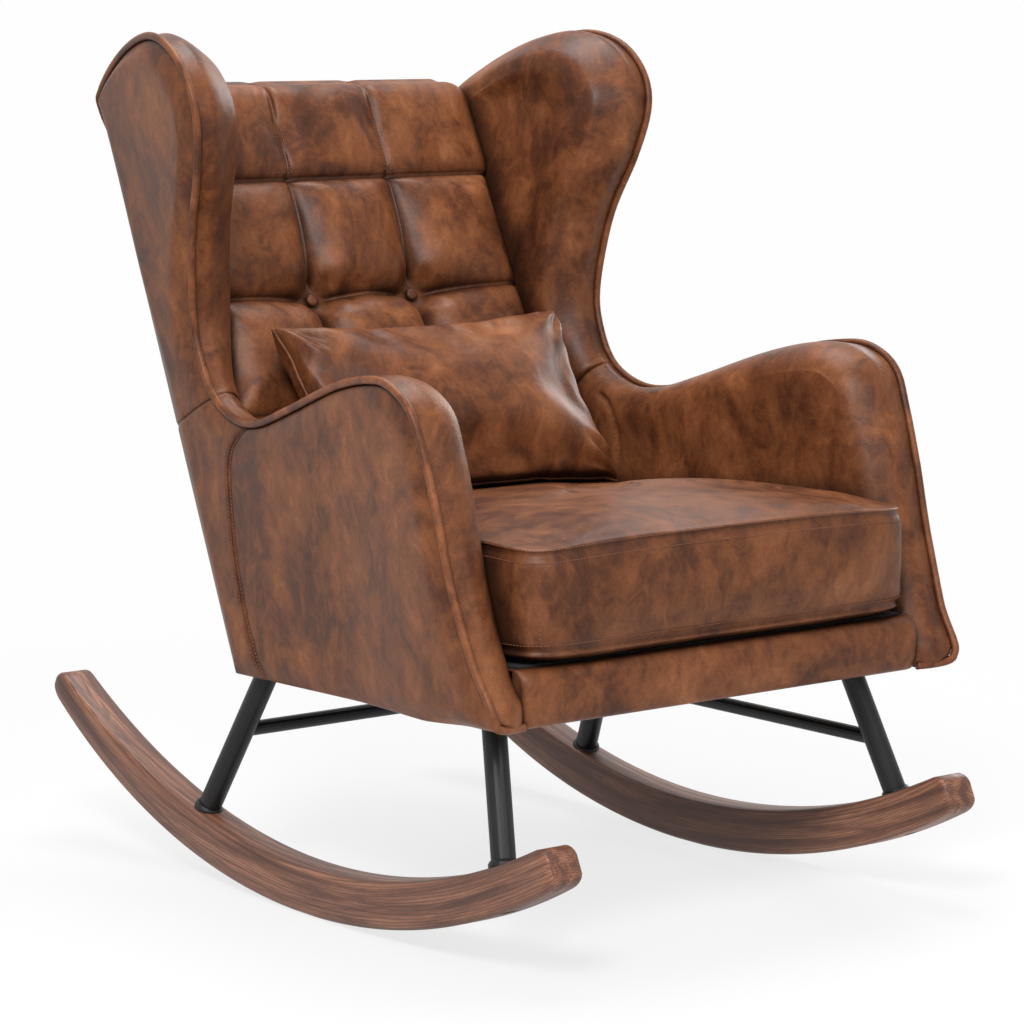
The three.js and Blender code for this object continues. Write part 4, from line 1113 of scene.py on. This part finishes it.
def make_pillow():
    wide, tall, thick = PILLOW_SIZE
    nx, nz = 120, 76
    ends = math.pi / 2 * 0.9
    u, v = np.meshgrid(*(
        np.sin(np.linspace(-1, 1, n) * ends) / math.sin(ends) for n in (nx, nz)
    ), indexing="ij")
    room = (1 - u ** 2) ** 0.5 * (1 - v ** 2) ** 0.5
    a = u * (wide / 2 - 19 * (1 - v ** 2) * np.abs(u) ** 3)
    b = v * (tall / 2 - 18 * (1 - u ** 2) * np.abs(v) ** 3)
    height = thick / 2 * room ** 0.56
    corner_x, corner_z = wide / 2 * (1 - np.abs(u)), tall / 2 * (1 - np.abs(v))
    reach = np.hypot(corner_x, corner_z)
    fan = np.arctan2(corner_z, corner_x)
    folds = np.cos(fan * 11) * 5.4 * bell(reach - 44, 32)
    folds = folds + np.sin(fan * 7 + 1) * 3.0 * bell(reach - 88, 38)
    puckers = np.sin(wide * u / 13) * np.exp(-corner_z / 9)
    puckers = puckers + np.sin(tall * v / 13) * np.exp(-corner_x / 9)
    height = np.maximum(height + (folds + puckers) * np.minimum(1, room * 4), 0.4)
    points, faces, index = [], [], {}

    def spot_key(i, j, face):
        """The two panels share the points of their sewn edge."""
        return i, j, 0 if i in (0, nx - 1) or j in (0, nz - 1) else face

    for face in (1, -1):
        for i, j in np.ndindex(nx, nz):
            key = spot_key(i, j, face)
            if key not in index:
                index[key] = len(points)
                points.append((a[i, j], b[i, j], key[2] * height[i, j]))
        for i, j in np.ndindex(nx - 1, nz - 1):
            ring = ((i, j), (i + 1, j), (i + 1, j + 1), (i, j + 1))
            faces.append(tuple(index[spot_key(*spot, face)] for spot in ring))
    piece = add_object(
        "pillow_cover", PILLOW_CENTRE + np.array(points) @ PILLOW_AXES, faces, LEATHER,
        "pillow_body", replaces="lumbar_pillow",
    )
    fill_pillow(piece)
    edge = [(i, 0) for i in range(nx)] + [(nx - 1, j) for j in range(1, nz)]
    edge += [(i, nz - 1) for i in range(nx - 2, -1, -1)] + [(0, j) for j in range(nz - 2, -1, -1)]
    welt = coordinates(piece)[[index[(i, j, 0)] for i, j in edge]]
    add_object("pillow_welt", *tube(welt, 2.1, 12), LEATHER_PIPING, "pillow_body", "piping")
    rows = [welt + PILLOW_FRONT * 3.0 + (PILLOW_CENTRE - welt) * 0.03]
    stitches("pillow_stitches", rows, "pillow_body")


def fill_pillow(piece):
    """Swells the pillow, then sets it back in the space its solid holds."""
    hold = np.zeros(len(piece.data.vertices))
    inflate(piece, hold, 3.2, 26.0, 15, stiff=8.0, bend=0.12, shrink=-0.06)
    local = (coordinates(piece) - PILLOW_CENTRE) @ PILLOW_AXES.T
    low, high = local.min(0), local.max(0)
    local = (local - (low + high) / 2) * np.array(PILLOW_SIZE) / (high - low)
    place_vertices(piece, PILLOW_CENTRE + local @ PILLOW_AXES)


make_pillow()


# Front apron: a padded roll between the arms, its leather turned in over the rail
APRON_DEPTH, APRON_SPREAD = 44, 8


def make_apron():
    half = arm_inner_x(APRON_FRONT_Y + APRON_DEPTH) + APRON_SPREAD
    top = RAIL_TOP + SEAT_GAP + 2
    key = [
        (24, 0.5), (13, 0.5), (4.6, 3.2), (0.2, 11), (-2.4, 24), (-3.2, 38), (-1.6, 51),
        (3.4, 60.4), (11.5, top), (24, top), (APRON_DEPTH, top),
    ]
    fine = refine(key, 6)
    sections = []
    for x in np.concatenate([[-half], np.linspace(-half + 0.6, half - 0.6, 170), [half]]):
        dip = rounded(half - abs(x), 16, 9.0)
        ring = []
        for back, height in fine:
            share = 1 - smooth((back - 10) / 12)
            y = APRON_FRONT_Y + back + dip * share
            ring.append((x, y, base_z(y) + min(height, top)))
        for back in (APRON_DEPTH, 24):
            y = APRON_FRONT_Y + back
            ring.append((x, y, base_z(y) + top - 2))
        sections.append(ring)
    add_padded("apron_padding", sections, LEATHER, "front_apron")


make_apron()


# Back of the chair: one leather panel, rounded to its sewn edges
def make_back_panel():
    half, low, high = REAR_HALF - COVER - LAYER, SIDE_BASE_Z, BACK_TOP_Z - SEAT_GAP
    shoulder = REAR_TOP_Z - 1
    neck = BACK_HALF * NECK_SHARE
    sections = []
    for z in np.linspace(low, high, 130):
        width = min(half, max(neck, half - (z - shoulder) / 0.2))
        ring = []
        for x in np.linspace(-width, width, 90):
            edge = min(width - abs(x), z - low, high - z)
            dip = rounded(edge, 14, 4.4) - 1.8 * smooth(edge / 160)
            ring.append((x, rear_y(z) - dip, z))
        sections.append(ring + [(width, rear_y(z) - 6, z), (-width, rear_y(z) - 6, z)])
    add_padded("back_leather", sections, LEATHER, "back_outer_panel", (0.4, 60.0, 11.0))


make_back_panel()


# Rockers: bent walnut with softened edges and rounded ends, bored for the leg bolts
ROCKER_X = REAR_HALF - 3
ROCKER_WIDTH, ROCKER_THICK = 45.8, 55.7
LOW_RADIUS, TOP_RADIUS = 917.0, 1021.0
CONTACT_Y, TOP_SHIFT = -45.0, 2.0
FRONT_REACH, REAR_REACH = 458.4, 550.6
END_ROUND, BORE, HEAD_BORE = 19, 4.4, 8.8
LEG_ROWS = ((-397.5, -342.0), (185.5, 98.0))


def arc(y, middle, radius):
    """Rise of a circle over its lowest point."""
    return radius - math.sqrt(radius ** 2 - (y - middle) ** 2)


def rocker_low(y):
    facet = (FRONT_REACH + REAR_REACH) / 25
    return arc(y, CONTACT_Y, LOW_RADIUS) - arc(facet / 2, 0, LOW_RADIUS)


def rocker_top(y):
    return ROCKER_THICK + arc(y, CONTACT_Y + TOP_SHIFT, TOP_RADIUS)


def make_rocker(side, sign):
    front, rear = CONTACT_Y - FRONT_REACH, CONTACT_Y + REAR_REACH
    turn = (1 - np.cos(np.linspace(0, math.pi / 2, 11))) * END_ROUND
    between = np.linspace(front + END_ROUND + 2, rear - END_ROUND - 2, 150)
    stations = np.concatenate([front + turn, between, (rear - turn)[::-1]])
    corner = [(0.3, 4.7), (1.2, 2.9), (2.9, 1.2), (4.7, 0.3)]
    sections = []
    for y in stations:
        shrink = rounded(min(y - front, rear - y), END_ROUND, 9)
        low, top = max(0.05, rocker_low(y)) + shrink * 0.7, rocker_top(y) - shrink * 1.7
        half = ROCKER_WIDTH / 2 - shrink * 0.35
        lean = math.atan((y - CONTACT_Y) / LOW_RADIUS)
        ring = []
        for across, up, order in ((-1, -1, 1), (1, -1, -1), (1, 1, 1), (-1, 1, -1)):
            for dx, dz in corner[::order]:
                z = low + dz if up < 0 else top - dz
                ring.append((across * (half - dx), z))
        middle = (low + top) / 2
        sections.append([
            (sign * ROCKER_X + x, y - (z - middle) * math.sin(lean), z) for x, z in ring
        ])
    piece = add_object(
        f"rocker_wood_{side}", *loft(sections), WALNUT, replaces=f"rocker_{side}",
    )
    for foot_y, top_y in LEG_ROWS:
        foot = np.array([sign * ROCKER_X, foot_y, rocker_top(foot_y)])
        top = np.array([sign * (REAR_HALF - 32), top_y, base_z(top_y) - 0.6])
        along = unit(top - foot)
        depth = (ROCKER_THICK - abs(foot_y - CONTACT_Y) * 0.03) / along[2]
        for radius, low, high in ((BORE, -depth - 60, 60), (HEAD_BORE, -depth - 60, 12 - depth)):
            path = [foot + along * low, foot + along * high]
            cutter = add_object("bore", *tube(path, radius, 32), WALNUT)
            bore = piece.modifiers.new("bore", "BOOLEAN")
            bore.operation, bore.solver, bore.object = "DIFFERENCE", "EXACT", cutter
            cut = bpy.data.meshes.new_from_object(evaluated(piece))
            piece.modifiers.remove(bore)
            piece.data = cut
            bpy.data.objects.remove(cutter)


for side, sign in SIDES:
    make_rocker(side, sign)
